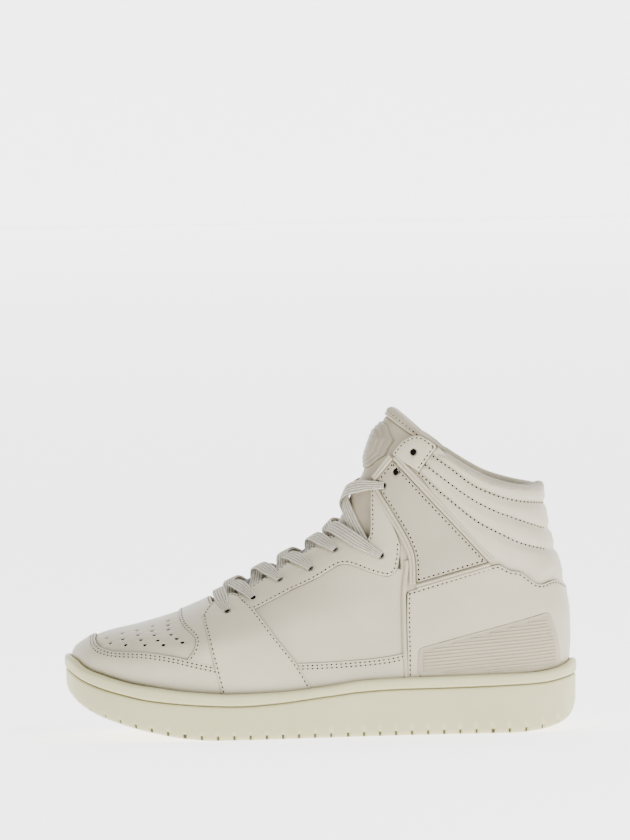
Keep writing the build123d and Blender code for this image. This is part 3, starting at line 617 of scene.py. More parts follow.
# ---- panels -------------------------------------------------------------------------------
THROAT_FRONT = [(-68, 71), (-62.9, 76.7), (-55.9, 80.6), (-49.4, 83), (-45, 82.2)]
THROAT_STAY = [(-50, 82.4), (-45.5, 84.3), (-35.4, 89.4), (-18.9, 99.5), (-5.4, 107.4),
               (3, 112.5), (8.7, 115.5), (15, 116.2), (21, 113.6), (25.4, 112), (29, 114),
               (30.4, 120), (30.7, 132), (31, 142)]
MUDGUARD_EDGE = [(-129.4, 60.9), (-130.1, 60.1), (-130.4, 58.7), (-129.2, 56.4),
                 (-124.3, 53.5), (-117.4, 52.3), (-99.4, 51.7), (-83.8, 49.3), (-72, 46.4),
                 (-60, 43.6)]
SADDLE_EDGE = [(-79, 45), (-73.5, 52.5), (-71.8, 58), (-73.3, 61.3), (-77.8, 65.1),
               (-80.6, 68.6), (-81.6, 71.8), (-81.7, 73.4)]
WAVE_TOP = [(51, 83), (70, 88.4), (90, 94.1), (101, 97.2), (105.5, 97.3), (110.9, 94.2),
            (116.9, 93), (120.9, 90.2), (125.8, 86.4), (130, 85.6), (135.8, 87.3),
            (140, 86.2), (146.5, 80.5)]
EYESTAY_LOW = [(-44, 71.5), (-37, 74.8), (-29, 78.6), (-16.7, 84.6), (-5.6, 89.2), (1.9, 93.1),
               (7.9, 96.7), (12.4, 98.8), (16.9, 99.1), (22, 97.5), (30.1, 94.3), (38.2, 92),
               (42.5, 92.4), (45.6, 95.5), (47.4, 103.2), (48, 110)]
RIM = [(70.7, 166.7), (79, 159.2), (92.7, 150.5), (101.9, 146.2), (115.6, 142.6), (129.5, 141),
       (136, 141)]
QUILTS = [[(63, 163.5), (67.9, 160.7), (78.8, 152.7), (89.7, 144.1), (101.7, 138.3),
           (113.6, 134.4), (131, 131.5), (136, 131.5)],
          [(60, 158), (63.2, 155.8), (74.1, 147.2), (87.8, 136.8), (101.5, 129), (113.4, 124.2),
           (131, 117.3), (138, 116)],
          [(56, 154), (59.4, 151.2), (69.4, 141.8), (80.3, 132.3), (92.1, 122.8),
           (105.8, 115.1), (117.7, 109.3), (131, 105.3), (141, 104)]]
PERFORATIONS = [
    (-121.7, 57.2), (-123.8, 59.7), (-112.7, 56.4), (-114.3, 59.5), (-114.7, 62.2),
    (-101.4, 56.5), (-103.7, 59.3), (-105.3, 61.8), (-105.9, 63.9),
    (-90.6, 56.5), (-93.8, 59.1), (-95.8, 61.8), (-97.1, 63.9), (-97.2, 66.1),
    (-79.5, 57.9), (-82.8, 60.0), (-86.0, 62.1), (-87.7, 64.7), (-87.9, 66.9), (-87.9, 68.9)]
EYELETS = [(-52.9, 73.4), (-37.8, 80.4), (-22.8, 91), (-4.9, 97.3), (9.6, 107.7), (36.1, 104.2),
           (38.5, 144.1), (46.1, 152.1), (56.5, 163.4)]
ONE, TWO, NONE = (1.8,), (1.8, 3.55), ()
SIDES = {"lat": -1, "med": 1}


def eyelet_pits(numbers):
    return [(*EYELETS[i], 1.9, 2.6) for i in numbers]


def quilt_relief(spots, qv):
    deep = np.zeros(len(spots))
    side = -1 if np.mean(qv[:, 0]) < 0 else 1
    for line in QUILTS:
        qv_line = chart(curve(line), side)
        gap = distances(spots, spots_of(qv_line))
        deep -= 1.9 * np.exp(-(gap / 2.2) ** 2)
    qv_line = chart(curve(WAVE_TOP), side)
    gap = distances(spots, spots_of(qv_line))
    return deep - 2.0 * np.exp(-(gap / 5.5) ** 2)


PANELS = []


def panel(node, *args, **options):
    made = Panel(f"{node}_skin", *args, **options)
    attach(made.object, "shoe")
    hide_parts(node)
    PANELS.append(made)
    return made


panel("mudguard", [(MUDGUARD_EDGE, TWO), ([(-60, 43.6), (-53, 40), (-52, 19)], NONE),
                   ([(-52, 19), (-80, 19), (-100, 23), (-120, 29), (-138, 37)], NONE)],
      0, 0.0, 1.3, CREAM, puff=.25)
panel("saddle", [([(-62.9, 81.1), (-62.3, 79.8), (-60.5, 77)], ONE),
                 ([(-60.5, 77), (-56.5, 60), (-57, 41)], NONE),
                 ([(-57, 41), (-80.5, 42), (-79, 45)], NONE), (SADDLE_EDGE, ONE)],
      0, -.3, 1.0, CREAM, puff=.15)
panel("toe_box", [([(-62, 84), (-66, 70), (-67, 50)], NONE),
                  ([(-67, 50), (-75, 43), (-100, 46), (-126, 49)], NONE),
                  ([(-126, 49), (-134, 55), (-138, 58.5)], NONE)], 0, -1.35, 1.2, CREAM_SOFT, puff=.2,
      holes=[(x, z, 1.0, 1.5) for x, z in PERFORATIONS])

# node, outline runs with their stitch rows, (level, thickness, material), options
SIDE_PANELS = [
    ("forefoot",
     [([(-68, 71), (-63.5, 52.2), (-57.6, 27.1), (-56, 19)], ONE), ([(-56, 19), (0, 20)], NONE),
      ([(0, 20), (-5.1, 29.5), (-13.7, 44.1), (-25.4, 59.4), (-37.1, 74.6), (-45, 82.2)], ONE),
      (THROAT_FRONT[::-1], ONE)],
     (.75, 1.6, CREAM), {"puff": .2, "holes": eyelet_pits([0, 1])}),
    ("eyestay",
     [(EYESTAY_LOW, ONE), ([(48, 110), (44, 121), (35, 142), (31, 142)], NONE),
      (THROAT_STAY[::-1], ONE), ([(-50, 82.4), (-44, 71.5)], NONE)],
     (0.0, 1.5, CREAM), {"puff": .25, "holes": eyelet_pits([2, 3, 4, 5])}),
    ("mid_quarter",
     [([(-44, 74), (-40, 60), (-25, 40), (-10, 22)], NONE), ([(-10, 22), (49, 28)], NONE),
      ([(49, 28), (49.3, 60), (50.5, 96)], NONE),
      ([(50.5, 96), (40, 98), (20, 103), (0, 98), (-20, 89), (-44, 74)], NONE)],
     (-1.3, 1.2, CREAM_SOFT), {"puff": .5}),
    ("strip",
     [([(-18, 43.7), (6, 44), (26.3, 44.9), (40, 46.2), (50, 48)], TWO),
      ([(50, 48), (49.5, 27)], NONE), ([(49.5, 27), (-8, 22)], NONE), ([(-8, 22), (-18, 43.7)], NONE)],
     (-.1, 1.3, CREAM), {"puff": .2}),
    ("heel_quarter",
     [(WAVE_TOP, ONE), ([(146.5, 80.5), (148, 60), (147, 42), (143, 31)], NONE),
      ([(143, 31), (100, 27), (50, 27)], NONE), ([(50, 27), (50.4, 50), (50.4, 70), (51, 83)], ONE)],
     (.1, 1.4, CREAM), {"puff": .25}),
    ("ankle_panel",
     [([(44.2, 159), (99, 98.8)], ONE), ([(99, 98.8), (56.2, 87.4)], ONE),
      ([(56.2, 87.4), (56, 101.5), (53.8, 109.6), (49.5, 118.5), (41, 133), (36.5, 140.4),
        (34, 147)], ONE), ([(34, 147), (44.2, 159)], ONE)],
     (-.3, 1.4, BEIGE), {"puff": .9, "holes": eyelet_pits([6, 7])}),
    ("eyelet_tab",
     [([(43.5, 162), (49.8, 169.5), (54.5, 172.3), (58.9, 173.3), (63.5, 172), (70.7, 166.7)], ONE),
      ([(70.7, 166.7), (64.5, 158.5), (59.5, 151.5)], ONE), ([(59.5, 151.5), (43.5, 162)], NONE)],
     (.5, 1.6, CREAM), {"puff": .3, "holes": eyelet_pits([8])}),
    ("collar_panel",
     [([(58.2, 151.5), (78.6, 123.2), (100.6, 96.8), (106, 93)], NONE),
      ([(106, 93), (117, 89), (126, 82), (147, 77)], NONE),
      ([(147, 77), (142, 100), (136, 120), (136, 141)], NONE),
      (RIM[::-1], NONE), ([(70.7, 166.7), (63, 160), (58.2, 151.5)], NONE)],
     (-.4, 1.4, CREAM_SOFT), {"puff": 1.9, "relief": quilt_relief})]
UNDERLAY = [([(36, 149), (43.5, 159.5), (58, 168.5), (69, 161)], NONE), ([(69, 161), (110, 96)], NONE),
            ([(110, 96), (104, 86), (47, 81)], NONE),
            ([(47, 81), (47, 104), (41.5, 126), (36, 149)], NONE)]
for name, side in SIDES.items():
    for node, runs, made_of, options in SIDE_PANELS:
        panel(f"{node}_{name}", runs, side, *made_of, **options)
    under = Panel(f"ankle_underlay_{name}", UNDERLAY, side, -1.2, .9, PIPING)
    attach(under.object, "shoe")


# ---- stitches and piping ------------------------------------------------------------------
def chart_points_3d(qv, depth):
    return lay(qv[:, 0], qv[:, 1], np.full(len(qv), float(depth)))


def pellets(name, spots, ways, normals, size, material, rows=4, turns=6):
    """Many small ellipsoids in one mesh: size = half length, half width, half height in mm."""
    across = np.cross(normals, ways)
    across = unit(across)
    verts, faces = [], []
    shape = []
    for i in range(1, rows):
        for j in range(turns):
            a, b = math.pi * i / rows, 2 * math.pi * j / turns
            shape.append((-math.cos(a), math.sin(a) * math.cos(b), math.sin(a) * math.sin(b)))
    shape = np.array([(-1, 0, 0)] + shape + [(1, 0, 0)]) * np.array(size)
    local = []
    last = len(shape) - 1
    for j in range(turns):
        k = (j + 1) % turns
        local.append((0, 1 + k, 1 + j))
        for i in range(rows - 2):
            a, b = 1 + i * turns, 1 + (i + 1) * turns
            local.append((a + j, a + k, b + k, b + j))
        local.append((last, 1 + (rows - 2) * turns + j, 1 + (rows - 2) * turns + k))
    for n, (spot, way, side, normal) in enumerate(zip(spots, ways, across, normals)):
        basis = np.stack([way, side, normal])
        verts.append((spot + shape @ basis) * MM)
        base = n * len(shape)
        faces += [tuple(base + i for i in f) for f in local]
    return new_object(name, np.concatenate(verts), faces, material)


PITCH = 2.75
THREAD_SIZE, HOLE_SIZE = (.86, .34, .3), (.6, .52, .26)


def stitch_points(moved, depth, pitch=PITCH):
    """Thread and needle-hole places along a chart line."""
    q_v = resample_chart(moved, pitch / 2)
    spots = chart_points_3d(q_v, depth)
    normals = normals_of(q_v)
    ways = np.gradient(spots, axis=0)
    ways = unit(ways)
    return spots, ways, normals


def resample_chart(qv, step):
    length = arc(spots_of(qv))
    count = max(3, int(round(length[-1] / step)) | 1)
    return pick(np.linspace(0, length[-1], count), length, qv)


def sew(name, lines, body="shoe"):
    """Thread and needle holes along chart lines with their depths, as two meshes; the needle holes are
    near-black pellets, painted shade of the holes.
    """
    thread, holes = [[], [], []], [[], [], []]
    for moved, depth in lines:
        found = stitch_points(moved, depth)
        for store, part in ((thread, slice(1, None, 2)), (holes, slice(0, None, 2))):
            for k in range(3):
                store[k].append(found[k][part])
    threads = [np.concatenate(t) for t in thread]
    pits = [np.concatenate(t) for t in holes]
    made = [pellets(f"{name}_thread", threads[0] + threads[2] * .06, *threads[1:], THREAD_SIZE, THREAD),
            pellets(f"{name}_needle_holes", pits[0] + pits[2] * .04, *pits[1:], HOLE_SIZE, HOLE_SHADE)]
    for piece in made:
        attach(piece, body)
    return made


def tube(name, points, normals, half_wide, half_high, material, sides=10, closed=False):
    """Swept bead with an elliptical section along 3-D points in mm."""
    ways = np.gradient(points, axis=0)
    if closed:
        ways = np.roll(points, -1, axis=0) - np.roll(points, 1, axis=0)
    ways = unit(ways)
    across = np.cross(ways, normals)
    across = unit(across)
    up = np.cross(across, ways)
    turns = np.linspace(0, 2 * np.pi, sides, endpoint=False)
    half_wide, half_high = np.broadcast_to(half_wide, len(points)), np.broadcast_to(half_high, len(points))
    rings = (points[:, None] + across[:, None] * (np.cos(turns)[None, :, None] * half_wide[:, None, None])
             + up[:, None] * (np.sin(turns)[None, :, None] * half_high[:, None, None]))
    return new_object(name, rings.reshape(-1, 3) * MM, band_faces(len(points), sides, closed), material)


def bead_line(points, side, shift=0.0, flip=1, spacing=1.0):
    """Chart line of a bead, moved sideways by shift in mm."""
    qv = chart(curve(points, spacing), side)
    if shift:
        left, _ = inward(qv, False)
        qv = chart_shift(qv, left * shift * side * flip)
    return qv


def joined_mesh(name, pieces):
    """Several meshes as one object."""
    for other in bpy.context.selected_objects:
        other.select_set(False)
    for piece in pieces:
        piece.select_set(True)
    bpy.context.view_layer.objects.active = pieces[0]
    bpy.ops.object.join()
    pieces[0].name = name
    return pieces[0]


rows = [line for made in PANELS for line in made.row_lines()]
for name, side in SIDES.items():
    quilts = [(chart(curve(line[1:-1] if len(line) > 4 else line), side), -.25) for line in QUILTS]
    rows += quilts
sew("seam", rows)

LEVELS = [.75, .75, 0, 0, 0, 0, -.3, -.3, .5]
eyelet_at, eyelet_out, eyelet_way = [], [], []
for number, (x, z) in enumerate(EYELETS):
    for side in (-1, 1):
        q, v = chart([(x, z)], side)[0]
        deep = .0 if number < 7 else -.15
        eyelet_at.append(lay(np.array([q]), np.array([v]), np.array([LEVELS[number] + .35 + deep]))[0])
        eyelet_out.append(upper_normal(np.array([q]), np.array([v]))[0])
        eyelet_way.append(np.cross(eyelet_out[-1], (0, 1.0, 0)))
eyelet_way = np.array(eyelet_way) / np.linalg.norm(eyelet_way, axis=1, keepdims=True)
# Near-black discs in the eyelets: painted shade of the eyelet holes.
eyelet_shade_discs = pellets("eyelet_insides", np.array(eyelet_at), eyelet_way, np.array(eyelet_out), (1.75, 1.75, .22),
                PIT_SHADE, rows=6, turns=14)
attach(eyelet_shade_discs, "shoe")

ANKLE_LOOP = [[(56.2, 87.0), (99.2, 98.6)], [(99.2, 98.6), (44.4, 159.6)], [(44.4, 159.6), (34, 147)],
              [(34, 147), (36.5, 140.4), (41, 133), (49.5, 118.5), (53.8, 109.6), (56, 101.5), (56.2, 87.2)]]
SEAM = [(50.9, 101), (51.2, 96.9), (50.1, 90), (49.2, 82), (49.1, 72.6), (49.1, 52.9), (49.6, 30)]
for name, side in SIDES.items():
    beads = []
    for k, run in enumerate(ANKLE_LOOP):
        for shift in (.95, 2.75):
            qv = bead_line(run, side, shift, flip=1)
            spots = chart_points_3d(qv, -.35)
            beads.append(tube(f"ankle_bead_{name}_{k}_{shift}", spots, normals_of(qv), 1.0, 1.15,
                              PIPING))
    piece = joined_mesh(f"ankle_piping_{name}_skin", beads)
    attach(piece, "shoe")
    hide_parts(f"ankle_piping_{name}")
    qv = bead_line(SEAM, side)
    piece = tube(f"seam_piping_{name}_skin", chart_points_3d(qv, -.5), normals_of(qv), 1.35, 1.5,
                 PIPING)
    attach(piece, "shoe")
    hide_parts(f"seam_piping_{name}")

# ---- ribbed inset -------------------------------------------------------------------------
RIB_PITCH, RIB_SLOPE = 1.95, .075
INSET = [([(55.8, 35), (56.5, 46), (57.3, 49.6), (60.4, 51.2)], ONE), ([(60.4, 51.2), (131, 69)], ONE),
         ([(131, 69), (133.6, 68), (134.8, 65), (138.1, 52.9), (139.8, 36)], ONE),
         ([(139.8, 36), (100, 33), (55.8, 33.2)], NONE)]
INSET_LOOP = np.concatenate([curve(points)[:-1] for points, _ in INSET])


def rib_spans():
    """Side-view ends of each rib, kept 3.2 mm inside the inset's outline."""
    border = np.concatenate([INSET_LOOP, INSET_LOOP[:1]])
    flat = np.stack([border[:, 0], 0 * border[:, 0], border[:, 1]], axis=-1)
    for k in range(22):
        x = np.arange(54, 142, .5)
        z = 31 + k * RIB_PITCH + (x - 56) * RIB_SLOPE
        spots = np.stack([x, z], axis=-1)
        keep = np.array([inside(p, INSET_LOOP) for p in spots])
        gap = distances(np.stack([x, 0 * x, z], axis=-1), flat)
        keep &= gap > 3.1
        if np.count_nonzero(keep) > 6:
            yield spots[keep]


for name, side in SIDES.items():
    plate = Panel(f"ribbed_inset_{name}_skin", INSET, side, .75, .9, TRIM, puff=.1)
    ribs = []
    for k, span in enumerate(rib_spans()):
        qv = chart(span[::2], side)
        ribs.append(tube(f"rib_{name}_{k}", chart_points_3d(qv, .8), normals_of(qv), .62, .6, TRIM,
                         sides=8))
    piece = joined_mesh(f"ribbed_inset_{name}_skin", [plate.object] + ribs)
    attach(piece, "shoe")
    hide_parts(f"ribbed_inset_{name}")


# ---- laces --------------------------------------------------------------------------------
LACE_WIDE, LACE_NARROW, LACE_THICK = 8.2, 4.4, 1.7
LACE_OVER, LACE_UNDER = 1.15, -2.3
CROSS_LOW, CROSS_HIGH = 1.0, 3.0
LACED = 7


def ease(share):
    share = np.clip(share, 0, 1)
    return share * share * (3 - 2 * share)


def ridge_height(start, end):
    """The v at which a band pulled straight from start to end (q, v) crosses the ridge."""
    ends = upper_point(np.array([start[0], end[0]]), np.array([start[1], end[1]]))
    middle = ends[0] + (ends[1] - ends[0]) * abs(start[0]) / (abs(start[0]) + abs(end[0]))
    heights = np.linspace(.1, .95, 341)
    spots = upper_point(np.full(341, 1e-3), heights)
    return heights[int(np.argmin(np.hypot(spots[:, 0] - middle[0], spots[:, 2] - middle[2])))]


def crossing(start, end, start_depth, end_depth, height, steps=30):
    """Chart stations (q, v, depth) from one eyelet to another on the far side."""
    (q0, v0), (q1, v1) = start, end
    share = np.linspace(0, 1, steps + 1)
    bend = np.polyfit([q0, 0, q1], [v0, ridge_height(start, end), v1], 2)
    ridge = abs(q0) / (abs(q0) + abs(q1))
    climb = ease((share / ridge - .6) / .36)
    fall = ease(((share - ridge) / (1 - ridge) - .24) / .4)
    depth = np.where(share < ridge, start_depth + (height - start_depth) * climb,
                     height + (end_depth - height) * fall)
    q = q0 + (q1 - q0) * share
    return np.stack([q, np.polyval(bend, q), depth], axis=-1)


def station_frames(stations):
    spots = lay(stations[:, 0], stations[:, 1], stations[:, 2])
    faces = normals_of(stations)
    near = np.abs(stations[:, 0]) < .5
    smooth_faces = faces.copy()
    for _ in range(3):
        smooth_faces[1:-1] = (smooth_faces[:-2] + smooth_faces[1:-1] * 2 + smooth_faces[2:]) / 4
    faces = np.where(near[:, None], smooth_faces, faces)
    ways = np.gradient(spots, axis=0)
    across = np.cross(ways, faces)
    across = unit(across)
    return spots, faces, across


def turn_down(before, place):
    """The lace's turn down through an eyelet and back under the stay."""
    q, v = place
    centre = lay(np.array([q]), np.array([v]), np.array([0.0]))[0]
    normal = upper_normal(np.array([q]), np.array([v]))[0]
    way = centre - before
    way -= normal * way.dot(normal)
    way = unit(way)
    radius = (LACE_OVER - LACE_UNDER) / 2
    middle = centre + normal * (LACE_OVER + LACE_UNDER) / 2 - way * radius
    found = []
    for angle in np.radians([10, 40, 65, 90, 115, 140, 170]):
        face = math.sin(angle) * way + math.cos(angle) * normal
        found.append((middle + radius * face, face, np.cross(way, normal), LACE_NARROW))
    return found


def lace_half(first_side):
    side = first_side
    places = [chart([EYELETS[0]], side)[0]]
    for number in range(1, LACED):
        side = -side
        places.append(chart([EYELETS[number]], side)[0])
    frames = []

    def run(stations, skip_start, skip_end):
        spots, faces, across = station_frames(stations)
        last = len(stations) - skip_end
        for i in range(skip_start, last):
            near = min(i - skip_start if skip_start else 9, last - 1 - i if skip_end else 9)
            width = LACE_NARROW + (LACE_WIDE - LACE_NARROW) * float(ease((near + 1) / 3.4))
            frames.append((spots[i], faces[i], across[i], width))
        return spots

    height = CROSS_HIGH if first_side < 0 else CROSS_LOW
    bar = crossing(chart([EYELETS[0]], -first_side)[0], places[0], LACE_OVER, LACE_OVER, CROSS_LOW)
    bar = bar[bar[:, 0] * first_side >= -1e-6]
    spots = run(bar, 0, 2)
    for number, place in enumerate(places):
        frames.extend(turn_down(spots[-5], place))
        if number == len(places) - 1:
            tail = np.array([(place[0] * (1 - .006 * i), place[1] - .003 * i, LACE_UNDER) for i in range(8)])
            run(tail, 4, 0)
        else:
            spots = run(crossing(place, places[number + 1], LACE_UNDER, LACE_OVER, height), 4, 3)
    return frames


def rounder(values, passes=2):
    for _ in range(passes):
        values = np.concatenate([values[:1], (values[:-2] + 2 * values[1:-1] + values[2:]) / 4, values[-1:]])
    return values


def ribbon(name, frames, material):
    """Flat woven band with five ribs along it; the faces low in the valleys between ribs take a darker
    material, painted shade.
    """
    spots, faces, across = (np.array([f[k] for f in frames]) for k in range(3))
    width = np.array([f[3] for f in frames])
    for i in range(1, len(frames)):
        if across[i].dot(across[i - 1]) < 0:
            across[i], faces[i] = -across[i], -faces[i]
    spots, width = rounder(spots), rounder(width[:, None], 3)[:, 0]
    faces, across = rounder(faces), rounder(across, 3)
    fine = np.linspace(0, len(spots) - 1, 2 * len(spots) - 1)
    known = np.arange(len(spots))
    spots, faces, across, width = (pick(fine, known, a) for a in (spots, faces, across, width[:, None]))
    width = width[:, 0]
    faces = unit(faces)
    across = unit(across)
    u = np.linspace(-1, 1, 31)
    crown = np.sqrt(np.clip(1 - np.abs(u) ** 5, 0, 1))
    ribs = .42 + .58 * np.abs(np.sin(2.5 * np.pi * (u + 1))) ** .7
    under = np.stack([u[::-1][1:-1], -crown[1:-1] * ribs[1:-1]], -1)
    section = np.concatenate([np.stack([u, crown * ribs], -1), under])
    squeeze = LACE_WIDE / np.maximum(width, 1)
    thick = LACE_THICK / 2 * np.clip(squeeze, 1, 1.35)
    rings = (spots[:, None] + across[:, None] * (section[None, :, 0:1] * width[:, None, None] / 2)
             + faces[:, None] * (section[None, :, 1:2] * thick[:, None, None]))
    count, size = rings.shape[:2]
    # Faces low between the ribs take the darker valley material: painted shade.
    low = (ribs[:-1] + ribs[1:]) / 2 < .62
    slots = [int(flag) for flag in np.concatenate([low, low[::-1]])] * (count - 1) + [0, 0]
    return new_object(name, rings.reshape(-1, 3) * MM, band_faces(count, size), material,
                      materials=(LACE_VALLEY_SHADE,), slots=slots)


bands = [ribbon(f"lace_{name}", lace_half(side), LACE) for name, side in SIDES.items()]
lace = joined_mesh("lace_band", bands)
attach(lace, "shoe")
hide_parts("lace")

# ---- tongue -------------------------------------------------------------------------------
FOLD_V = .83
TONGUE_OUT, TONGUE_THICK = -3.6, 5.4
FLAP_HALF, FLAP_DEEP, FLAP_REACH, FLAP_PROUD, FLAP_DROP = 21.5, 48.0, 1.32, -.6, .95
TOP_V, SEAM_V = .998, .972
TONGUE_FILL = 2.3
FOLD_RISE = math.tan(math.radians(24.0))


def tongue_row(v, reach, inset, wide=1.0):
    """Points across the tongue at one height; below the fold it follows the upper."""
    t = np.linspace(-1, 1, 49) * wide
    fill = TONGUE_FILL * np.clip(1 - (t * reach / .62) ** 2, 0, 1) * float(ease((v - .36) / .1))
    low = lay(t * reach, np.full(49, min(v, .93)), TONGUE_OUT + fill * (inset < 2) - inset)
    share = float(np.clip((v - FOLD_V) / (TOP_V - FOLD_V), -.3, 1.0))
    at = FOLD_V + (.998 - FOLD_V) * share
    spot = lay(np.array([1e-3]), np.array([at]),
               np.array([TONGUE_OUT + (FLAP_PROUD - TONGUE_OUT) * float(ease(share))]))[0]
    half = FLAP_HALF - 2.5 * (1 - share)
    turn = t * FLAP_REACH
    back = inset + (FLAP_DEEP - inset) * (1 - np.cos(turn)) * .8
    slope = FOLD_RISE * (1 - share) - FLAP_DROP * share
    high = np.stack([spot[0] + back, (half - inset) * np.sin(turn), spot[2] + back * slope], axis=-1)
    mix = float(ease((v - (FOLD_V - .05)) / .06))
    return low * (1 - mix) + high * mix


def tongue_mesh(name, material):
    """Closed padded tongue: outer and inner face with rounded sides and a rolled top."""
    heights = np.concatenate([np.linspace(.24, .95, 60), np.linspace(.953, TOP_V, 26)])
    reach = smooth([.24, .35, .5, .62, .7, .83, 1], [.55, .68, .72, .78, .86, .95, 1.0])
    t = np.linspace(-1, 1, 49)
    side_round = np.sqrt(np.clip(1 - np.abs(t) ** 6, .0004, 1))
    loops = []
    for v in heights:
        over = max(0.0, (v - SEAM_V) / (TOP_V - SEAM_V))
        top_round = math.sqrt(max(.0004, 1 - max(0.0, over - .35) ** 2 / .4225))
        roll = 1.1 * math.sin(math.pi * min(1.0, over + .02)) ** .7 if over > 0 else 0.0
        seam = -.7 * math.exp(-((v - SEAM_V + .001) / .0025) ** 2)
        outer = tongue_row(v, float(reach(v)), -roll - seam)
        inner = tongue_row(v, float(reach(v)), TONGUE_THICK)
        middle, half = (outer + inner) / 2, (outer - inner) / 2
        scale = (side_round * top_round)[:, None]
        loops.append(np.concatenate([middle + half * scale, (middle - half * scale)[::-1]]))
    loops = np.array(loops)
    count, size = loops.shape[:2]
    slots = [1 if heights[i] < MESH_TOP else 0 for i in range(count - 1) for _ in range(size)] + [1, 0]
    return new_object(name, loops.reshape(-1, 3) * MM, band_faces(count, size), material,
                      materials=(MESH,), slots=slots)


MESH_TOP = .66
# The tongue's cream leather made darker than the upper's cream: painted shade of the tongue lying under the
# laces; the lace keeper strap uses it too.
TONGUE_LEATHER_SHADED = leather("tongue_leather", (.45, .39, .28), (.40, .345, .24), .55, 1.2)
tongue = tongue_mesh("tongue_skin", TONGUE_LEATHER_SHADED)
fold = next(joint for joint in frame["joints"] if joint["name"] == "tongue_fold")
fold_spot = np.array(fold["pos_m"])
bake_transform(tongue)
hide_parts("tongue_base", "tongue_flap")


def shell_of_rows(name, rows, thick, material):
    """Closed sheet: rows of 3-D points and the same rows moved in by thick along the sheet's normal."""
    grid = np.array(rows)
    du, dv = np.gradient(grid, axis=0), np.gradient(grid, axis=1)
    normal = np.cross(du, dv)
    normal /= np.linalg.norm(normal, axis=2, keepdims=True) + 1e-12
    under = grid - normal * thick
    m, n = grid.shape[:2]
    verts = np.concatenate([grid.reshape(-1, 3), under.reshape(-1, 3)]) * MM
    top = [(i * n + j, (i + 1) * n + j, (i + 1) * n + j + 1, i * n + j + 1)
           for i in range(m - 1) for j in range(n - 1)]
    low = [tuple(k + m * n for k in f[::-1]) for f in top]
    return new_object(name, verts, top + low + boundary_walls(top, m * n), material)


def flap_point(t, v, lift):
    row = tongue_row(v, 1.0, -lift)
    place = (t + 1) / 2 * 48
    i = int(np.clip(place, 0, 47))
    return row[i] + (row[i + 1] - row[i]) * (place - i)


BADGE_LOW, BADGE_HIGH, BADGE_REACH = .10, .74, .56


def badge_plate(name, scale, lift):
    """Octagonal plate on the flap, curved with it, with a rounded rim."""
    rows = []
    for b in np.linspace(0, 1, 27):
        wide = min(1.0, .55 + .45 * min(b, 1 - b) / .26) * scale
        rim = min(1.0, min(b, 1 - b) / .04)
        v = FOLD_V + (TOP_V - FOLD_V) * (BADGE_LOW + (BADGE_HIGH - BADGE_LOW) * ((b - .5) * scale + .5))
        row = []
        for a in np.linspace(-1, 1, 41):
            edge = min(1.0, (1 - abs(a)) / .05)
            row.append(flap_point(a * wide * BADGE_REACH, v, lift * min(rim, edge) ** .5))
        rows.append(row)
    return shell_of_rows(name, rows, -.4, BADGE)


def badge_rib(k):
    """Raised bar across the badge."""
    v = FOLD_V + (TOP_V - FOLD_V) * (BADGE_LOW + (BADGE_HIGH - BADGE_LOW) * (.34 + .16 * k))
    spots = np.array([flap_point(a * BADGE_REACH * .42, v, 2.9) for a in np.linspace(-1, 1, 15)])
    normals = np.gradient(spots, axis=0)
    normals = np.cross(normals, (0, 0, 1.0))
    normals = unit(normals)
    return tube(f"badge_rib_{k}", spots, normals, .9, .7, BADGE)


plates = [badge_plate(f"badge_{k}", scale, lift)
          for k, (scale, lift) in enumerate([(1.0, 1.3), (.82, 2.2), (.64, 3.0)])]
badge = joined_mesh("tongue_badge_plate", plates + [badge_rib(k) for k in range(3)])
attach(badge, "tongue_top")
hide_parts("tongue_badge")

seam_row = tongue_row(SEAM_V + .0015, 1.0, -.5, .97)
seam_out = seam_row - np.array([60.0, 0.0, 165.0])
seam_out = unit(seam_out)
tongue_bead = tube("tongue_seam_bead", seam_row, seam_out, .75, .75, PIPING)
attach(tongue_bead, "tongue_top")
stitch_row = resample(tongue_row(SEAM_V + .0095, 1.0, -1.02, .96), PITCH)
stitch_ways = np.gradient(stitch_row, axis=0)
stitch_ways = unit(stitch_ways)
stitch_out = stitch_row - np.array([60.0, 0.0, 165.0])
stitch_out = unit(stitch_out)
tongue_holes = pellets("tongue_needle_holes", stitch_row, stitch_ways, stitch_out, (.46, .42, .25), HOLE_SHADE)
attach(tongue_holes, "tongue_top")

keeper_rows = []
for v in np.linspace(.703, .737, 9):
    q = np.linspace(-.2, .2, 25)
    keeper_rows.append(lay(q, np.full(25, v), TONGUE_OUT + .2 + 1.2 * np.cos(q / .2 * np.pi / 2) ** .5))


keeper = shell_of_rows("lace_keeper_strap", keeper_rows, .9, TONGUE_LEATHER_SHADED)
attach(keeper, "shoe")
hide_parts("lace_keeper")

# ---- collar roll, linings and inside ------------------------------------------------------
COLLAR_THICK = 7.6
ROLL_SINK, END_SINK = 2.2, 3.0


def rim_v(q):
    """Height v of the collar's rim at each q, from its side-view line."""
    lines = [chart(curve(RIM), side) for side in (-1, 1)]
    known_q = np.concatenate([np.abs(line[:, 0]) for line in lines])
    known_v = np.concatenate([line[:, 1] for line in lines])
    order = np.argsort(known_q)
    return np.interp(np.abs(q), known_q[order], known_v[order])


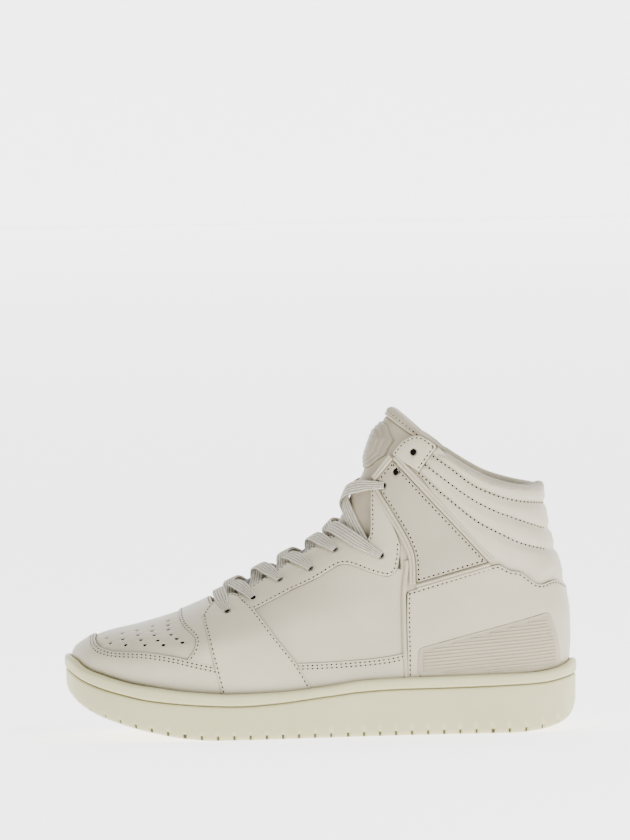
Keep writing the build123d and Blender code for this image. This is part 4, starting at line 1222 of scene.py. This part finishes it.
def collar_roll():
    """Padded rim from the outer leather over the top and down the inside."""
    line = chart(curve(RIM), -1)
    start = float(np.abs(line[:, 0]).min())
    turn = np.linspace(start, 2 * np.pi - start, 150)
    q = np.where(turn <= np.pi, -turn, 2 * np.pi - turn)
    q = np.clip(q, -np.pi + 1e-3, np.pi - 1e-3)
    v_rim = rim_v(q)
    from_end = np.minimum(turn - start, 2 * np.pi - start - turn)
    rows = []
    half = COLLAR_THICK / 2
    for angle in np.linspace(-.2, np.pi, 15):
        depth = -half + .4 + half * math.cos(angle)
        rise = half * .9 * math.sin(angle) - ROLL_SINK - END_SINK * np.exp(-(from_end / .1) ** 2)
        rows.append(lay(q, v_rim, np.full(len(q), depth)) + np.stack([0 * q, 0 * q, rise], -1))
    low_v = .3
    for share in np.linspace(.04, 1, 24):
        v = v_rim + (low_v - v_rim) * share
        belly = 1.6 * math.sin(math.pi * min(1, share * 1.8)) - .6
        rows.append(lay(q, v, np.full(len(q), -COLLAR_THICK + .4 - belly * (share < .56))))
    return shell_of_rows("collar_roll_skin", rows, -.8, LINING)


collar = collar_roll()
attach(collar, "shoe")
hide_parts("collar_foam", "collar_lining")

QUARTER_LINING = [
    ([(-60, 62), (-56, 40), (-54, 20)], NONE), ([(-54, 20), (60, 26)], NONE),
    ([(60, 26), (60, 84), (47, 104)], NONE),
    ([(47, 104), (43, 95), (20, 92), (5, 90), (-12, 83), (-30, 75), (-60, 62)], NONE)]
for name, side in SIDES.items():
    panel(f"quarter_lining_{name}", QUARTER_LINING, side, -3.0, 1.2, LINING)
panel("vamp_lining", [([(-72, 84), (-67, 66.5), (-59, 62)], NONE), ([(-59, 62), (-55, 40), (-53, 19)], NONE),
                      ([(-53, 19), (-80, 19), (-100, 23), (-120, 29), (-138, 37)], NONE)],
      0, -3.0, 1.2, LINING)
heel_q = np.concatenate([-np.linspace(1.9, np.pi - 1e-3, 30), np.linspace(np.pi - 1e-3, 1.9, 30)])
heel_rows = [lay(heel_q, np.full(60, v), np.full(60, -3.1 - 4.0 * float(ease(v / .33))))
             for v in np.linspace(.02, .34, 14)]
heel = shell_of_rows("heel_lining_skin", heel_rows, 1.0, LINING)
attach(heel, "shoe")
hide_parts("heel_lining")

# ---- outsole ------------------------------------------------------------------------------
SOLE_RIM = [(-153, 50.5), (-144.3, 46.6), (-138.1, 42.1), (-125.6, 37.8), (-109.9, 33.7),
            (-94.3, 31.2), (-75.5, 28.6), (-51.2, 26.9), (-26.2, 27.4), (5.7, 30.1),
            (25.5, 32.8), (50.8, 33.6), (105.6, 34.5), (125.7, 35), (140.7, 36.9), (153, 42)]
GROOVE = [(-154, 45), (-148.7, 41.6), (-138.2, 34.9), (-125.7, 30.3), (-113.3, 27.1),
          (-100.7, 24.3), (-85, 22.3), (-69.3, 20.9), (-46.2, 19.9), (-26.2, 20.9), (5.6, 24.3),
          (25.4, 26.3), (45.7, 27.1), (75.3, 27.3), (105.5, 27.9), (130.4, 28.9),
          (143.6, 30.9), (154, 33.5)]
UNDERSIDE = [(-150.5, 40), (-149.5, 33.8), (-148.1, 28.8), (-144, 23.3), (-132.3, 15.6),
             (-118.6, 10.6), (-107.3, 7.3), (-94.8, 4.4), (-82.3, 2), (-60, 0), (112, 0), (125, .9),
             (135, 2.7), (143.1, 5.6), (147.1, 9.6), (149.5, 16)]
CUP_CLEAR, CUP_OUT, FLOOR_THICK = .8, 4.6, 5.5
NOTCH_PITCH, NOTCH_WIDTH, NOTCH_HEIGHT, NOTCH_DEPTH = 9.4, 1.9, 2.3, 1.9
SOLE_STEP = .62


def level_line(points):
    x, z = np.array(points, float).T
    return smooth(x, z)


def sole_outline():
    """Plan outline of the upper near its lower edge from toe to heel: spots, ways out, arc length."""
    q = np.linspace(1e-4, np.pi - 1e-4, 900)
    spots = upper_point(-q, .05 + .08 * q / np.pi)[:, :2]
    length = arc(spots)
    at = np.linspace(0, length[-1], int(length[-1] / SOLE_STEP))
    spots = pick(at, length, spots)
    way = np.gradient(spots, axis=0)
    out = np.stack([way[:, 1], -way[:, 0]], axis=-1)
    out *= np.sign(np.sum(out * spots, axis=1))[:, None]
    out[0], out[-1] = (-1, 0), (1, 0)
    for _ in range(12):
        out[1:-1] = (out[:-2] + 2 * out[1:-1] + out[2:]) / 4
    out = unit(out)
    spots[[0, -1], 1] = 0
    return spots, out, at


def sole_profile(x, notch):
    """Offset and height of each profile point at one station, from the cup's floor to the underside."""
    rim, groove, low = float(rim_z(x)), float(groove_z(x)), float(under_z(x))
    wall = groove - 1.1 - low
    cut = notch * NOTCH_DEPTH
    points = [(CUP_CLEAR, low + FLOOR_THICK), (CUP_CLEAR, rim - 2.0), (CUP_CLEAR + .1, rim - .6),
              (1.5, rim - .1), (2.5, rim), (3.4, rim - .25), (4.1, rim - .8), (4.5, rim - 1.6),
              (CUP_OUT, rim - 2.6),
              (CUP_OUT, groove + 1.5), (4.5, groove + .9), (4.15, groove + .45), (3.3, groove + .18),
              (2.9, groove - .1), (3.0, groove - .45), (3.5, groove - .75), (3.95, groove - 1.2),
              (4.05, groove - 2.0)]
    for share in (.25, .4, .55, .7):
        points.append((4.05 - .3 * share, groove - 1.1 - wall * share))
    shrink = min(1.0, wall / 9.0)
    points += [(3.8, low + NOTCH_HEIGHT * 1.5 * shrink), (3.75 - cut, low + (NOTCH_HEIGHT + .35) * shrink),
               (3.7 - cut, low + NOTCH_HEIGHT * shrink), (3.5 - cut, low + 1.2 * shrink),
               (3.0 - cut * .9, low + .6 * shrink), (2.2 - cut * .6, low + .15), (1.0 - cut * .2, low)]
    return points


rim_z, groove_z, under_z = level_line(SOLE_RIM), level_line(GROOVE), level_line(UNDERSIDE)


def tread_relief(x, y, edge):
    """Grooves of the underside: waves across the foot with a smooth rim around them."""
    wave = np.sin((x + 3.5 * np.sin(y / 5.0)) * 2 * np.pi / 7.0)
    deep = 1.6 * np.clip((wave - .25) * 3, 0, 1)
    return deep * np.clip((edge - 5.0) / 1.2, 0, 1)


def outsole_mesh(name):
    spots, out, at = sole_outline()
    phase = np.abs((at / NOTCH_PITCH) % 1 - .5) * NOTCH_PITCH
    notch = np.clip((NOTCH_WIDTH / 2 + .15 - phase) / .3, 0, 1)
    notch *= (np.abs(at - at.mean()) < at.mean() - 12)
    verts = []
    sole_x = spots[:, 0] + out[:, 0] * CUP_OUT
    profiles = [sole_profile(x, n) for x, n in zip(sole_x, notch)]
    count, size = len(spots), len(profiles[0])
    for side in (1, -1):
        for i in (range(count) if side == 1 else range(count - 2, 0, -1)):
            for d, z in profiles[i]:
                place = spots[i] + out[i] * d
                verts.append((place[0], place[1] * side, z))
    total = len(verts) // size
    faces = []
    for i in range(total):
        k = (i + 1) % total
        for j in range(size - 1):
            faces.append((i * size + j, i * size + j + 1, k * size + j + 1, k * size + j))

    def other(i):
        return 0 if i == 0 else (count - 1 if i == count - 1 else 2 * count - 2 - i)

    across = 46
    for row, flip, tread in ((size - 1, False, True), (0, True, False)):
        line_of = []
        for i in range(count):
            a, b = np.array(verts[i * size + row]), np.array(verts[other(i) * size + row])
            if i in (0, count - 1):
                line_of.append([i * size + row] * (across + 1))
                continue
            line = [i * size + row]
            for m in range(1, across):
                place = a + (b - a) * m / across
                edge = min(np.linalg.norm(place - a), np.linalg.norm(place - b))
                end = min(abs(place[0] - verts[row][0]), abs(place[0] - verts[(count - 1) * size + row][0]))
                if tread:
                    place[2] += float(tread_relief(place[0], place[1], min(edge, end)))
                line.append(len(verts))
                verts.append(tuple(place))
            line.append(other(i) * size + row)
            line_of.append(line)
        for i in range(count - 1):
            for m in range(across):
                face = [line_of[i][m], line_of[i][m + 1], line_of[i + 1][m + 1], line_of[i + 1][m]]
                face = list(dict.fromkeys(face))
                if len(face) > 2:
                    faces.append(tuple(face if flip else face[::-1]))
    slots = [0] * len(faces)
    for i in range(total):
        # The groove's deepest face rows take the darker groove material: painted shade.
        for j in (12, 13, 14):
            slots[i * (size - 1) + j] = 2
        station = i if i < count else 2 * count - 2 - i
        # Faces inside each notch take the near-black notch material: painted shade in the notches.
        for j in (size - 6, size - 5, size - 4, size - 3):
            if notch[station] > .5 and notch[min(station + 1, count - 1)] > .5:
                slots[i * (size - 1) + j] = 1
    return new_object(name, np.array(verts) * MM, faces, SOLE, materials=(NOTCH_SHADE, GROOVE_SHADE), slots=slots)


sole = outsole_mesh("outsole_skin")
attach(sole, "shoe")
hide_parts("outsole")

for node, material in {"midsole_insert": SOLE, "strobel_board": LINING, "footbed": MESH,
                       "toe_puff": TRIM, "counter": TRIM}.items():
    piece = frame["nodes"][node]
    for number in range(len(piece.material_slots)):
        piece.material_slots[number].material = material

# ---- stage --------------------------------------------------------------------------------
low, high = np.array(cad_box[0]), np.array(cad_box[1])
centre = (low + high) / 2
size = float((high - low).max())
PAPER_GLOW, BACKDROP = 2.9, 8.0


def stage_plane(name, corners, material):
    mesh = bpy.data.meshes.new(name)
    mesh.from_pydata(corners, [], [tuple(range(len(corners)))])
    mesh.materials.append(material)
    piece = bpy.data.objects.new(name, mesh)
    bpy.context.scene.collection.objects.link(piece)


PAPER, _, paper_shader = node_material("paper", (.88, .87, .88), .95)
paper_shader.inputs["Emission Color"].default_value = (.95, .94, .95, 1)
paper_shader.inputs["Emission Strength"].default_value = PAPER_GLOW
reach = 47 * size
stage_plane("floor", [(-reach, -reach, low[2]), (reach, -reach, low[2]), (reach, BACKDROP, low[2]),
                      (-reach, BACKDROP, low[2])], PAPER)
stage_plane("backdrop", [(-reach, BACKDROP, low[2]), (reach, BACKDROP, low[2]), (reach, BACKDROP, reach),
                         (-reach, BACKDROP, reach)], PAPER)


def area_light(name, spot, energy, width):
    light = bpy.data.lights.new(name, "AREA")
    light.energy, light.size = energy, width
    lamp = bpy.data.objects.new(name, light)
    lamp.location = spot
    aim = Vector(centre) - Vector(spot)
    lamp.rotation_euler = aim.to_track_quat("-Z", "Y").to_euler()
    bpy.context.scene.collection.objects.link(lamp)


area_light("key", (centre[0] + 1.0, centre[1] - 1.2, centre[2] + 1.1), 31, .7)
area_light("fill", (centre[0] - 1.3, centre[1] - .7, centre[2] + .5), 2.4, .9)
area_light("top", (centre[0] + .1, centre[1] + .3, centre[2] + 1.5), 8, 1.2)
world = bpy.data.worlds.new("studio")
world.use_nodes = True
background = next(n for n in world.node_tree.nodes if n.type == "BACKGROUND")
background.inputs["Color"].default_value = (.93, .92, .93, 1)
background.inputs["Strength"].default_value = .05
bpy.context.scene.world = world

ELEVATION, ROLL, DISTANCE = math.radians(3.2), math.radians(-1.2), 6.0
VIEW_HEIGHT = .485
camera_data = bpy.data.cameras.new("camera")
camera_data.lens = 36 * DISTANCE / VIEW_HEIGHT
camera = bpy.data.objects.new("camera", camera_data)
aim = Vector((0, -.035, .1835))
camera.location = aim + Vector((0, -math.cos(ELEVATION) * DISTANCE, math.sin(ELEVATION) * DISTANCE))
turn = (aim - camera.location).to_track_quat("-Z", "Y") @ Quaternion((0, 0, 1), ROLL)
camera.rotation_euler = turn.to_euler()
bpy.context.scene.collection.objects.link(camera)
bpy.context.scene.camera = camera
